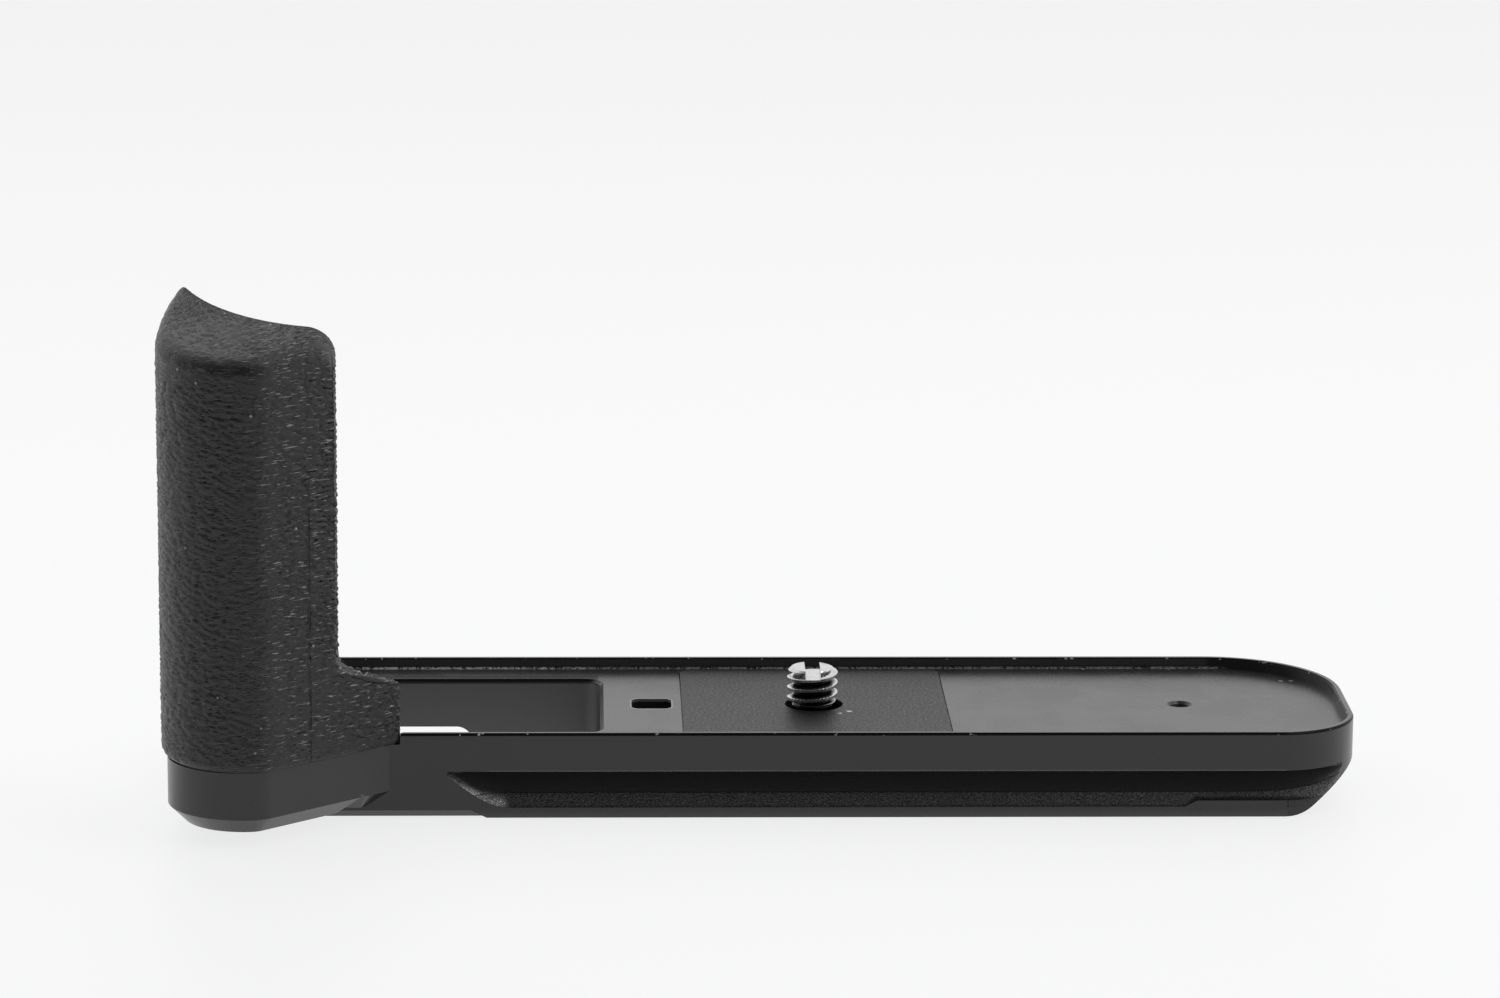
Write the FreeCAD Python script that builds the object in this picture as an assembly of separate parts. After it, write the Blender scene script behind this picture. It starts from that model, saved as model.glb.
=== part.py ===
import FreeCAD, Part
import math
import os
from FreeCAD import Vector

# Camera hand grip: a machined tray plate with a dovetail foot, a rubber-skinned finger column,
# an inlaid seat pad and a captive camera screw.
# Millimetres. The origin is on the camera screw's axis, at the underside of the plate.
# +X runs along the plate away from the column, +Y towards the camera's back, +Z up.

# Plate in plan
half_depth = 19.0            # the dovetail is two of these wide
right_end = 67.0             # outer face of the rim at the right end
left_end_inset = 1.5         # the column stands this far past the plate's left end
front_corner_r = 10.0
back_corner_r = 16.0

# Plate in height
deck_z = 9.3                 # floor of the tray
rim_height = 1.4
rim_width = 0.9
rim_bevel = 0.22
rim_end_round = 0.5          # round on the rim's two ends beside the column

# Underside of the plate
end_cut_rise = 5.6           # height of the sloped end cut at the right end
end_cut_angle = 37.3         # degrees above level
end_cut_r = 5.4
front_bevel = 0.95           # bevel under the front face beside the column
front_bevel_back = 16.0      # that bevel runs out this far left of the opening's right end
front_bevel_run = 2.0

# Dovetail grooves
groove_top = 5.85
groove_depth = 4.0
groove_wall = 0.6            # upright wall above the 45 degree slope
groove_cutter_back = 11.2    # axis of the round left end, left of the opening's right end
groove_cutter_out = 5.2      # that axis stands this far outside the face
lip_raise = 0.8              # the lip is taller by this at the right end
lip_raise_x = 45.2
lip_raise_run = 1.5

# Battery opening
opening_right = -26.6
opening_length = 39.4
front_bar = 5.9              # width of the bar in front of the opening
back_bar = 6.5
opening_corner = 2.0
opening_bevel = 0.4
opening_bevel_share = 0.99   # the bevel leaves a thin land at its foot
relief_height = 3.1          # finger relief under the back bar
relief_back = 17.5           # the relief starts this far left of the opening's right end
relief_length = 18.0
relief_corner = 2.0

# Small deck features
window_centre_x = -20.2
window_centre_y = 0.45
window_length = 5.0
window_width = 4.8
window_corner = 1.0
accessory_x = 46.3
accessory_bore_r = 1.25
accessory_bevel = 0.35

# Seat pad
pad_centre_x = 0.22
pad_length = 33.2
pad_margin = 1.1             # between the pad and the rim
pad_corner = 1.5
pad_thickness = 0.6
pad_proud = 0.1
pad_gap = 0.12
pad_hole_r = 3.65

# Camera screw and its snap ring
thread_r = 3.175             # quarter-inch thread
screw_tip = 4.9              # height of the tip above the deck
tip_bevel = 0.55
tip_slot_width = 1.9
tip_slot_depth = 0.95
thread_base = 0.35           # the thread starts this far above the deck
thread_relief_r = 2.5        # turned down between the thread and the snap ring
shank_r = 3.1
head_r = 7.0
head_height = 3.0
head_inset = 0.4             # head sits this far inside the underside
head_bevel = 0.5
coin_slot_width = 2.0
coin_slot_depth = 1.4
screw_float = 0.8            # free travel along the axis
screw_side_clear = 0.35
head_side_clear = 0.4
screw_web = 2.4              # wall between the head's pocket and the ring's pocket
ring_thickness = 0.8
ring_r = 4.6
ring_neck_r = 2.2
ring_fit = 0.05
ring_mouth = 3.4
ring_side_clear = 0.6

# Tripod bush
bush_x = 26.0
bush_r = 4.6
bush_length = 6.6
bush_bore_r = 2.6
bush_bevel = 0.5
bush_fit = 0.02
bush_inset = 0.15

# Column in plan
column_out = 13.9            # the column stands this far past the opening's left end
column_width = 21.4
column_span = 28.6           # the column and its apron together
nose_out = 13.85             # the nose stands this far in front of the plate
wall_r = 66.0                # the left wall bends inwards to the wing on this radius
flank_r = 10.2               # large round from the left wall to the nose
nose_r = 5.0                 # smaller round from the nose to the flank
nose_turn = -82.8            # degrees, direction of the nose from the large round's centre
apron_end_thickness = 0.75
wing_back = 10.4             # the wing ends this far behind the plate's front
wing_solid = 3.4             # the skin is solid over this length of the wing
camera_round_r = 21.8        # the column's back follows the camera's round end
camera_round_in = 22.6       # centre of that round, from the column's left wall
camera_round_back = 18.7     # and from the plate's front
camera_return_r = 8.0        # smaller round behind the apron
camera_return_turn = -101.0  # degrees, direction of that smaller round from the camera round's centre

# Column in height
top_z = 59.6                 # height of the top plane over the nose
top_slope = 0.2              # rise of the top towards the back
top_round = 1.8
shoulder_r = 3.4             # large round where the top meets the right end
apron_corner_z = 17.0
apron_slope = 0.45
apron_corner_r = 1.6
apron_inner_r = 2.5
skin_thickness = 1.6
skin_hem_round = 0.7         # round along the skin's lower outer edge
core_round = 0.8             # round along the top of the core and of the skin's hollow
glue_gap = 0.1
rim_gap = 0.15               # between the rim's ends and the skin

# Foot under the column
foot_inset = 0.65            # the skin overhangs the foot by this
foot_z = 1.45
foot_bevel = 2.0

# Column screws
column_screw_r = 1.25
column_screw_length = 12.0
column_screw_head_r = 2.4
column_screw_sink = 0.3
column_screw_fit = 0.05
column_screw_key_r = 0.87    # corners of the key socket
column_screw_key_depth = 0.9
column_screw_first = (-2.2, -1.6)    # from the centre of the column's large round
column_screw_second = (4.4, -0.6)


def polar(centre, radius, angle):
    return (centre[0] + radius * math.cos(angle), centre[1] + radius * math.sin(angle))


def tangent_angle(point, centre, radius):
    """Direction of the line that leaves a circle on its lower right side and ends at a point."""
    across, up = centre[0] - point[0], centre[1] - point[1]
    turned = math.atan2(up, across) + math.pi + math.asin(radius / math.hypot(across, up))
    return math.remainder(turned, 2 * math.pi)


# Values that follow from the sizes above
reach = 3.0                  # how far a cutting tool runs past a face
headroom = 30.0              # how far a tall tool runs past the column
back_clear = 1.0             # the skin's hollow runs past the column's back by this
touch = 1e-6                 # places closer than this are the same
top_near = 0.01              # an edge this close to the top's plane lies in it
edge_clear = 0.3             # an outer edge's middle is at least this far from the camera's side
rim_top = deck_z + rim_height
opening_left = opening_right - opening_length
opening_front = -half_depth + front_bar
opening_back = half_depth - back_bar
relief_right = opening_right - relief_back
groove_cutter_x = opening_right - groove_cutter_back
front_bevel_end = opening_right - front_bevel_back
column_left = opening_left - column_out
column_right = column_left + column_width
apron_end_x = column_left + column_span
left_end = column_left + left_end_inset
nose_y = -half_depth - nose_out
wing_end_y = -half_depth + wing_back
camera_round_x = column_left + camera_round_in
camera_round_y = -half_depth + camera_round_back
pad_width = 2 * (half_depth - rim_width - pad_margin)
round_x = column_left + flank_r
round_y = nose_y + flank_r
pad_floor = deck_z + pad_proud - pad_thickness
screw_top = deck_z + screw_tip
head_top = head_inset + head_height
head_pocket = head_top + screw_float
ring_seat = head_pocket + screw_web
ring_pocket_top = pad_floor
camera_front_y = -half_depth + rim_width
apron_back = (apron_end_x, camera_front_y)
apron_front = (apron_end_x, camera_front_y - apron_end_thickness)
wall_centre = (column_left + wall_r, round_y)
nose_at = math.radians(nose_turn)
nose = polar((round_x, round_y), flank_r - nose_r, nose_at)
flank = tangent_angle(apron_front, nose, nose_r)
flank_at = flank - 0.5 * math.pi
return_from = math.radians(camera_return_turn)
return_round = polar((camera_round_x, camera_round_y), camera_round_r - camera_return_r, return_from)
camera_return = tangent_angle(apron_back, return_round, camera_return_r)
return_at = camera_return - 0.5 * math.pi


def at(x, y, z=0.0):
    return Vector(x, y, z)


def line(start, end):
    return Part.LineSegment(at(*start), at(*end)).toShape()


def arc(centre, radius, start_angle, end_angle):
    """An arc in plan from one angle to another, given in radians."""
    middle = 0.5 * (start_angle + end_angle)
    points = [at(centre[0] + radius * math.cos(a), centre[1] + radius * math.sin(a))
              for a in (start_angle, middle, end_angle)]
    return Part.Arc(*points).toShape()


def upright(edges, bottom, top):
    """A prism on a closed plan outline."""
    face = Part.Face(Part.Wire(edges))
    face.translate(at(0, 0, bottom))
    return face.extrude(at(0, 0, top - bottom))


def rod(radius, bottom, top, x=0.0, y=0.0):
    return Part.makeCylinder(radius, top - bottom, at(x, y, bottom))


def cone(bottom_r, top_r, bottom, top, x=0.0, y=0.0):
    return Part.makeCone(bottom_r, top_r, top - bottom, at(x, y, bottom))


def block(x0, x1, y0, y1, z0, z1):
    return Part.makeBox(x1 - x0, y1 - y0, z1 - z0, at(x0, y0, z0))


def side_prism(points, y0, y1):
    """A prism along Y on a closed outline of (x, z) points."""
    wire = Part.makePolygon([at(x, y0, z) for x, z in points + points[:1]])
    return Part.Face(wire).extrude(at(0, y1 - y0, 0))


def end_prism(points, x0, x1):
    """A prism along X on a closed outline of (y, z) points."""
    wire = Part.makePolygon([at(x0, y, z) for y, z in points + points[:1]])
    return Part.Face(wire).extrude(at(x1 - x0, 0, 0))


def rounded_block(x0, x1, y0, y1, z0, z1, radius):
    """A block whose four upright edges are rounded."""
    solid = block(x0, x1, y0, y1, z0, z1)
    edges = [e for e in solid.Edges if abs(e.tangentAt(e.FirstParameter).z) > 0.5]
    return solid.makeFillet(radius, edges)


def mirrored_back(solid):
    """The same solid on the plate's back side."""
    return solid.mirror(at(0, 0, 0), at(0, 1, 0))


def plate_outline(inset):
    """Rounded plan of the plate: tight corners in front, wide ones at the back."""
    x0, x1 = left_end + inset, right_end - inset
    y0, y1 = -half_depth + inset, half_depth - inset
    front_r, back_r = front_corner_r - inset, back_corner_r - inset
    quarter = 0.5 * math.pi
    return [line((x0 + front_r, y0), (x1 - front_r, y0)),
            arc((x1 - front_r, y0 + front_r), front_r, -quarter, 0.0),
            line((x1, y0 + front_r), (x1, y1 - back_r)),
            arc((x1 - back_r, y1 - back_r), back_r, 0.0, quarter),
            line((x1 - back_r, y1), (x0 + back_r, y1)),
            arc((x0 + back_r, y1 - back_r), back_r, quarter, 2 * quarter),
            line((x0, y1 - back_r), (x0, y0 + front_r)),
            arc((x0 + front_r, y0 + front_r), front_r, 2 * quarter, 3 * quarter)]


def wing_turn(inset, wing_y):
    """Direction of the left wall's end at the wing, from the centre of that wall's arc."""
    return math.pi - math.asin((wing_y - round_y) / (wall_r - inset))


def wing_corner(inset, wing_y):
    """Where the bent left wall ends at the wing."""
    return polar(wall_centre, wall_r - inset, wing_turn(inset, wing_y))


def column_front(inset, wing_y):
    """Outer side of the column's plan: left wall, large round and nose, then the flank's two ends."""
    edges = [arc(wall_centre, wall_r - inset, wing_turn(inset, wing_y), math.pi),
             arc((round_x, round_y), flank_r - inset, -math.pi, nose_at),
             arc(nose, nose_r - inset, nose_at, flank_at)]
    return edges, polar(nose, nose_r - inset, flank_at), polar(apron_front, -inset, flank_at)


def column_back(right_x, wing_y, back_shift):
    """Camera side of the column's plan, from its right end along both rounds to the wing."""
    camera = (camera_round_x, camera_round_y)
    back_r, return_r = camera_round_r - back_shift, camera_return_r - back_shift
    return_end = polar(return_round, return_r, return_at)
    wing_angle = -math.pi - math.asin((wing_y - camera_round_y) / back_r)
    edges = []
    start_angle = return_at
    if right_x > return_end[0]:
        behind = polar(apron_back, -back_shift, return_at)
        start = (right_x, behind[1] + (right_x - behind[0]) * math.tan(camera_return))
        edges.append(line(start, return_end))
    else:
        start_angle = -math.acos((right_x - return_round[0]) / return_r)
        start = polar(return_round, return_r, start_angle)
    edges += [arc(return_round, return_r, start_angle, return_from),
              arc(camera, back_r, return_from, wing_angle)]
    return start, edges, polar(camera, back_r, wing_angle)


def column_outline(inset, right_x, wing_y, back_shift):
    """Crescent plan of the column, from the wing round the nose and back along the camera's end."""
    front, flank_start, flank_far = column_front(inset, wing_y)
    flank_end = (right_x, flank_far[1] + (right_x - flank_far[0]) * math.tan(flank))
    back_start, back, wing = column_back(right_x, wing_y, back_shift)
    return (front + [line(flank_start, flank_end), line(flank_end, back_start)] + back
            + [line(wing, wing_corner(inset, wing_y))])


def foot_outline(inset, z):
    """Plan of the foot at one height: the column's outer side, closed behind the plate's front face."""
    edges, flank_start, flank_far = column_front(inset, wing_end_y)
    inner_y = -half_depth + rim_width + reach
    inner = (flank_far[0] + (inner_y - flank_far[1]) / math.tan(flank), inner_y)
    corner = (inner[0], wing_end_y)
    edges += [line(flank_start, inner), line(inner, corner), line(corner, wing_corner(inset, wing_end_y))]
    wire = Part.Wire(edges)
    wire.translate(at(0, 0, z))
    return wire


def top_level(drop, y):
    """Height of the column's sloping top, lowered by a wall's thickness."""
    return top_z - drop + top_slope * (y - nose_y)


def above_top(drop):
    """Everything above the column's sloping top, lowered by a wall's thickness."""
    y0, y1 = nose_y - reach, half_depth
    low, high = top_level(drop, y0), top_level(drop, y1)
    cap = high + headroom
    return end_prism([(y0, low), (y1, high), (y1, cap), (y0, cap)], left_end - headroom, right_end)


def beside_column():
    """Everything to the right of the column and above its apron, with a round in the corner between them."""
    far = apron_end_x + 2 * reach
    cap = top_z + headroom
    inner_z = apron_corner_z + apron_slope * (apron_end_x - column_right)
    far_z = apron_corner_z - apron_slope * 2 * reach
    solid = side_prism([(column_right, inner_z), (far, far_z), (far, cap), (column_right, cap)],
                       nose_y - reach, half_depth)
    inner = [e for e in solid.Edges
             if all(abs(v.X - column_right) < touch and abs(v.Z - inner_z) < touch for v in e.Vertexes)]
    return solid.makeFillet(apron_inner_r, inner)


def shoulder_tool(drop):
    """What the large round takes off where the column's top meets its right end."""
    y0, length = nose_y - reach, half_depth - nose_y + reach
    side_x, level = column_right - drop, top_level(drop, y0)
    radius = shoulder_r - drop
    x, z = side_x - radius, level - radius
    eighth = radius * math.sqrt(0.5)
    curve = Part.Arc(at(side_x, y0, z), at(x + eighth, y0, z + eighth), at(x, y0, level)).toShape()
    far_x, cap = side_x + reach, level + reach
    rest = Part.makePolygon([at(x, y0, level), at(x, y0, cap), at(far_x, y0, cap), at(far_x, y0, z),
                             at(side_x, y0, z)])
    return Part.Face(Part.Wire([curve] + rest.Edges)).extrude(at(0, length, top_slope * length))


def outer_top_edges(solid, drop, wing_y):
    """Edges round a column's top, apart from its right end, the camera's side and the wing's end."""
    chosen = []
    for edge in solid.Edges:
        middle = edge.valueAt(0.5 * (edge.FirstParameter + edge.LastParameter))
        in_top = abs(middle.z - top_level(drop, middle.y)) < top_near
        if in_top and middle.x < column_right - drop - touch and outside_camera(middle, wing_y):
            chosen.append(edge)
    return chosen


def column_solid(thickness, wing_y, back_shift):
    """The column without its apron, drawn in by a wall's thickness and rounded along its top."""
    outline = column_outline(thickness, column_right - thickness, wing_y, back_shift)
    solid = upright(outline, deck_z, top_z + headroom).cut(above_top(thickness))
    solid = solid.makeFillet(core_round, outer_top_edges(solid, thickness, wing_y))
    return solid.cut(shoulder_tool(thickness))


def apron_corner(solid):
    """The edge where the apron's top meets its thin end."""
    return [e for e in solid.Edges
            if all(abs(v.X - apron_end_x) < touch and abs(v.Z - apron_corner_z) < touch for v in e.Vertexes)]


def rim_solid():
    """The tray's rim, bevelled along its top, left out beside the column and rounded at its two ends."""
    ring = upright(plate_outline(0.0), deck_z, rim_top)
    ring = ring.cut(upright(plate_outline(rim_width), deck_z, rim_top))
    top = [e for e in ring.Edges if min(v.Z for v in e.Vertexes) > rim_top - touch]
    ring = ring.makeChamfer(rim_bevel, top)
    end_x, end_y = apron_end_x + rim_gap, wing_end_y + rim_gap
    eased_x, eased_y = end_x + rim_end_round, end_y + rim_end_round
    x0, x1 = left_end - reach, left_end + reach
    y0, y1 = -half_depth - reach, -half_depth + reach
    axis_z, cap = rim_top - rim_end_round, rim_top + reach
    beside = block(x0, end_x, y0, end_y, deck_z - reach, cap)
    front_rod = Part.makeCylinder(rim_end_round, 4 * reach, at(eased_x, y0 - reach, axis_z), at(0, 1, 0))
    left_rod = Part.makeCylinder(rim_end_round, 4 * reach, at(x0 - reach, eased_y, axis_z), at(1, 0, 0))
    front_tool = block(end_x, eased_x, y0, y1, axis_z, cap).cut(front_rod)
    left_tool = block(x0, x1, end_y, eased_y, axis_z, cap).cut(left_rod)
    return ring.cut(beside).cut(front_tool).cut(left_tool)


def foot_solid():
    """The raised foot that carries the column, bevelled round its underside."""
    bevel_top = foot_z + foot_bevel
    low, high = foot_outline(foot_inset + foot_bevel, foot_z), foot_outline(foot_inset, bevel_top)
    bevel = Part.makeLoft([low, high], True, True)
    body = Part.Face(high).extrude(at(0, 0, deck_z - bevel_top))
    return body.fuse(bevel).removeSplitter()


def outside_camera(point, wing_y):
    """Whether a point is on the column's outer side, clear of the camera's end and the wing's end."""
    from_camera = math.hypot(point.x - camera_round_x, point.y - camera_round_y)
    return from_camera > camera_round_r + edge_clear and point.y < wing_y - edge_clear


def groove_tool():
    """Dovetail groove along the front face, with the round left end that its cutter leaves."""
    face_y = -half_depth
    inner_y = face_y + groove_depth
    slope_top = groove_top - groove_wall
    slope_low = slope_top - groove_depth
    section = [(face_y, slope_low), (inner_y, slope_top), (inner_y, groove_top), (face_y, groove_top)]
    run = end_prism(section, groove_cutter_x, right_end + reach)
    axis_y = face_y - groove_cutter_out
    wide = groove_cutter_out + groove_depth
    end = cone(groove_cutter_out, wide, slope_low, slope_top, groove_cutter_x, axis_y)
    end = end.fuse(rod(wide, slope_top, groove_top, groove_cutter_x, axis_y))
    raised = slope_low + lip_raise
    kept = side_prism([(lip_raise_x, slope_low - reach), (lip_raise_x, slope_low),
                       (lip_raise_x + lip_raise_run, raised), (right_end + 2 * reach, raised),
                       (right_end + 2 * reach, slope_low - reach)], face_y - reach, inner_y)
    return run.fuse(end).cut(kept)


def end_cut():
    """Sloped cut under the right end, eased into the underside by an arc."""
    angle = math.radians(end_cut_angle)
    line_x = right_end - (end_cut_rise - end_cut_r * (1 - math.cos(angle))) / math.tan(angle)
    start_x = line_x - end_cut_r * math.sin(angle)
    far = right_end + reach
    far_z = end_cut_rise + reach * math.tan(angle)
    y0 = -half_depth - reach
    half = 0.5 * angle
    middle = at(start_x + end_cut_r * math.sin(half), y0, end_cut_r * (1 - math.cos(half)))
    eased = at(line_x, y0, end_cut_r * (1 - math.cos(angle)))
    curve = Part.Arc(at(start_x, y0, 0), middle, eased).toShape()
    rest = Part.makePolygon([eased, at(far, y0, far_z), at(far, y0, -reach), at(start_x, y0, -reach),
                             at(start_x, y0, 0)])
    return Part.Face(Part.Wire([curve] + rest.Edges)).extrude(at(0, 2 * (half_depth + reach), 0))


def front_bevel_tool():
    """Bevel under the front face beside the column, ended on a slant."""
    y0 = -half_depth
    far = front_bevel + reach
    wedge = end_prism([(y0 - reach, -reach), (y0 + far, -reach), (y0 - reach, far)],
                      left_end - reach, front_bevel_end + front_bevel_run + reach)
    slant = front_bevel_run / front_bevel
    low_x = front_bevel_end + front_bevel_run
    window = side_prism([(left_end - reach, -reach), (low_x + reach * slant, -reach),
                         (low_x - 2 * reach * slant, 2 * reach), (left_end - reach, 2 * reach)],
                        y0 - 2 * reach, y0 + 2 * reach)
    return wedge.common(window)


def battery_opening_tool():
    """Opening under the battery door, with bevelled upper edges, and the relief under the back bar."""
    opening = rounded_block(opening_left, opening_right, opening_front, opening_back, -reach, deck_z + reach,
                            opening_corner)
    mouth = rounded_block(opening_left - opening_bevel, opening_right + opening_bevel,
                          opening_front - opening_bevel, opening_back + opening_bevel,
                          deck_z - opening_bevel, deck_z + reach, opening_corner + opening_bevel)
    low = [e for e in mouth.Edges if max(v.Z for v in e.Vertexes) < deck_z - opening_bevel + touch]
    mouth = mouth.makeChamfer(opening_bevel_share * opening_bevel, low)
    left = relief_right - relief_length
    spread = relief_height + reach
    relief = side_prism([(left - spread, -reach), (relief_right + spread, -reach),
                         (relief_right, relief_height), (left, relief_height)],
                        opening_back - reach, half_depth + reach)
    high = [e for e in relief.Edges if min(v.Z for v in e.Vertexes) > relief_height - touch]
    upper = [e for e in high if abs(e.Vertexes[0].X - e.Vertexes[-1].X) < touch]
    return opening.fuse(mouth).fuse(relief.makeFillet(relief_corner, upper))


def pad_block(grow, bottom, top):
    half_x, half_y = 0.5 * pad_length + grow, 0.5 * pad_width + grow
    return rounded_block(pad_centre_x - half_x, pad_centre_x + half_x, -half_y, half_y, bottom, top,
                         pad_corner + grow)


def screw_hole_tool():
    """Head pocket from below, screw hole, and the snap ring's pocket under the pad."""
    hole = rod(thread_r + screw_side_clear, -reach, deck_z + reach)
    head = rod(head_r + head_side_clear, -reach, head_pocket)
    ring = rod(ring_r + ring_side_clear, ring_seat, ring_pocket_top + reach)
    return hole.fuse(head).fuse(ring)


def column_screw_places():
    return [(round_x + dx, round_y + dy) for dx, dy in (column_screw_first, column_screw_second)]


def column_screw(x, y, grow):
    """Countersunk screw from the foot's underside up into the column's core."""
    head_z = foot_z + column_screw_sink
    head_high = column_screw_head_r - column_screw_r
    shank = rod(column_screw_r + grow, head_z, head_z + column_screw_length + grow, x, y)
    head = cone(column_screw_head_r + grow, column_screw_r + grow, head_z, head_z + head_high, x, y)
    return shank.fuse(head)


def base_plate():
    plate = upright(plate_outline(0.0), 0.0, deck_z)
    solid = plate.fuse(foot_solid()).fuse(rim_solid())
    half_x, half_y = 0.5 * window_length, 0.5 * window_width
    window = rounded_block(window_centre_x - half_x, window_centre_x + half_x, window_centre_y - half_y,
                           window_centre_y + half_y, -reach, deck_z + reach, window_corner)
    accessory = rod(accessory_bore_r, -reach, deck_z + reach, accessory_x)
    mouth_r = accessory_bore_r + accessory_bevel
    accessory_mouth = cone(accessory_bore_r, mouth_r, deck_z - accessory_bevel, deck_z, accessory_x)
    bush = rod(bush_r + bush_fit, -reach, bush_inset + bush_length, bush_x)
    tools = [end_cut(), groove_tool(), mirrored_back(groove_tool()), front_bevel_tool(),
             battery_opening_tool(), window, accessory, accessory_mouth, bush, screw_hole_tool(),
             pad_block(pad_gap, pad_floor, deck_z + reach)]
    sink_r = column_screw_head_r + column_screw_fit
    for x, y in column_screw_places():
        tools.append(column_screw(x, y, column_screw_fit))
        tools.append(rod(sink_r, foot_z - reach, foot_z + column_screw_sink, x, y))
    for tool in tools:
        solid = solid.cut(tool)
    return solid.removeSplitter()


def seat_pad():
    pad = pad_block(0.0, pad_floor, pad_floor + pad_thickness)
    return pad.cut(rod(pad_hole_r, pad_floor - reach, pad_floor + pad_thickness + reach, pad_centre_x))


def camera_screw():
    """Coin-slot head, shank with a neck for the snap ring, and the slotted threaded tip."""
    head = rod(head_r, head_inset, head_top)
    rims = [e for e in head.Edges if len(e.Vertexes) == 1]
    head = head.makeChamfer(head_bevel, rims)
    thread_z = deck_z + thread_base
    neck_bottom = ring_seat - ring_fit
    neck_top = ring_seat + ring_thickness + ring_fit
    body = head.fuse(rod(shank_r, head_top, neck_bottom))
    body = body.fuse(rod(ring_neck_r, neck_bottom, neck_top))
    body = body.fuse(rod(thread_relief_r, neck_top, thread_z))
    body = body.fuse(rod(thread_r, thread_z, screw_top - tip_bevel))
    body = body.fuse(cone(thread_r, thread_r - tip_bevel, screw_top - tip_bevel, screw_top))
    coin = block(-0.5 * coin_slot_width, 0.5 * coin_slot_width, -head_r - reach, head_r + reach,
                 head_inset - reach, head_inset + coin_slot_depth)
    tip = block(-0.5 * tip_slot_width, 0.5 * tip_slot_width, -head_r, head_r,
                screw_top - tip_slot_depth, screw_top + reach)
    return body.cut(coin).cut(tip).removeSplitter()


def retaining_ring():
    """Open snap ring round the screw's neck."""
    ring = rod(ring_r, ring_seat, ring_seat + ring_thickness)
    ring = ring.cut(rod(ring_neck_r + ring_fit, ring_seat - reach, ring_seat + reach))
    half = 0.5 * ring_mouth
    mouth = block(0.0, ring_r + reach, -half, half, ring_seat - reach, ring_seat + reach)
    return ring.cut(mouth)


def tripod_bush():
    """Threaded bush pressed into the underside."""
    top = bush_inset + bush_length
    bush = rod(bush_r, bush_inset, top, bush_x).cut(rod(bush_bore_r, bush_inset - reach, top + reach, bush_x))
    return bush.cut(cone(bush_bore_r + bush_bevel, bush_bore_r, bush_inset, bush_inset + bush_bevel, bush_x))


def grip_core():
    """Rigid core of the column, bare where it meets the camera, tapped for its screws."""
    core = column_solid(skin_thickness + glue_gap, wing_end_y - wing_solid - glue_gap, 0.0)
    for x, y in column_screw_places():
        core = core.cut(column_screw(x, y, column_screw_fit))
    return core


def hem_edges(solid):
    """The skin's lower edges along the left wall, the rounds and the flank."""
    chosen = []
    for edge in solid.Edges:
        middle = edge.valueAt(0.5 * (edge.FirstParameter + edge.LastParameter))
        if max(v.Z for v in edge.Vertexes) < deck_z + touch and outside_camera(middle, wing_end_y):
            chosen.append(edge)
    return chosen


def grip_skin():
    """Rubber skin over the column's outside and top, with its apron beside the lens."""
    outside = upright(column_outline(0.0, apron_end_x, wing_end_y, 0.0), deck_z, top_z + headroom)
    outside = outside.cut(above_top(0.0)).cut(beside_column())
    outside = outside.makeFillet(top_round, outer_top_edges(outside, 0.0, wing_end_y))
    outside = outside.cut(shoulder_tool(0.0))
    outside = outside.makeFillet(apron_corner_r, apron_corner(outside))
    outside = outside.makeFillet(skin_hem_round, hem_edges(outside))
    cavity = column_solid(skin_thickness, wing_end_y - wing_solid, back_clear)
    return outside.cut(cavity)


def column_screws():
    """The column's two screws, with a six-sided key socket in each head."""
    screws = []
    for x, y in column_screw_places():
        head_z = foot_z + column_screw_sink
        corners = [polar((x, y), column_screw_key_r, math.radians(60 * k)) for k in range(6)]
        sides = [line(corners[k - 1], corners[k]) for k in range(6)]
        key = upright(sides, head_z - reach, head_z + column_screw_key_depth)
        screws.append(column_screw(x, y, 0.0).cut(key))
    return Part.makeCompound(screws)


def main():
    os.makedirs("parts", exist_ok=True)
    pieces = {"base_plate": base_plate(), "seat_pad": seat_pad(), "camera_screw": camera_screw(),
              "retaining_ring": retaining_ring(), "tripod_bush": tripod_bush(), "grip_core": grip_core(),
              "grip_skin": grip_skin(), "column_screws": column_screws()}
    for name, shape in pieces.items():
        shape.exportStep("parts/" + name + ".step")
        print(name, "solids", len(shape.Solids), "volume", round(shape.Volume, 1), "valid", shape.isValid())


main()
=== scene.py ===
import math
import bpy
import bmesh
import numpy as np
from mathutils import Matrix, Vector


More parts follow.
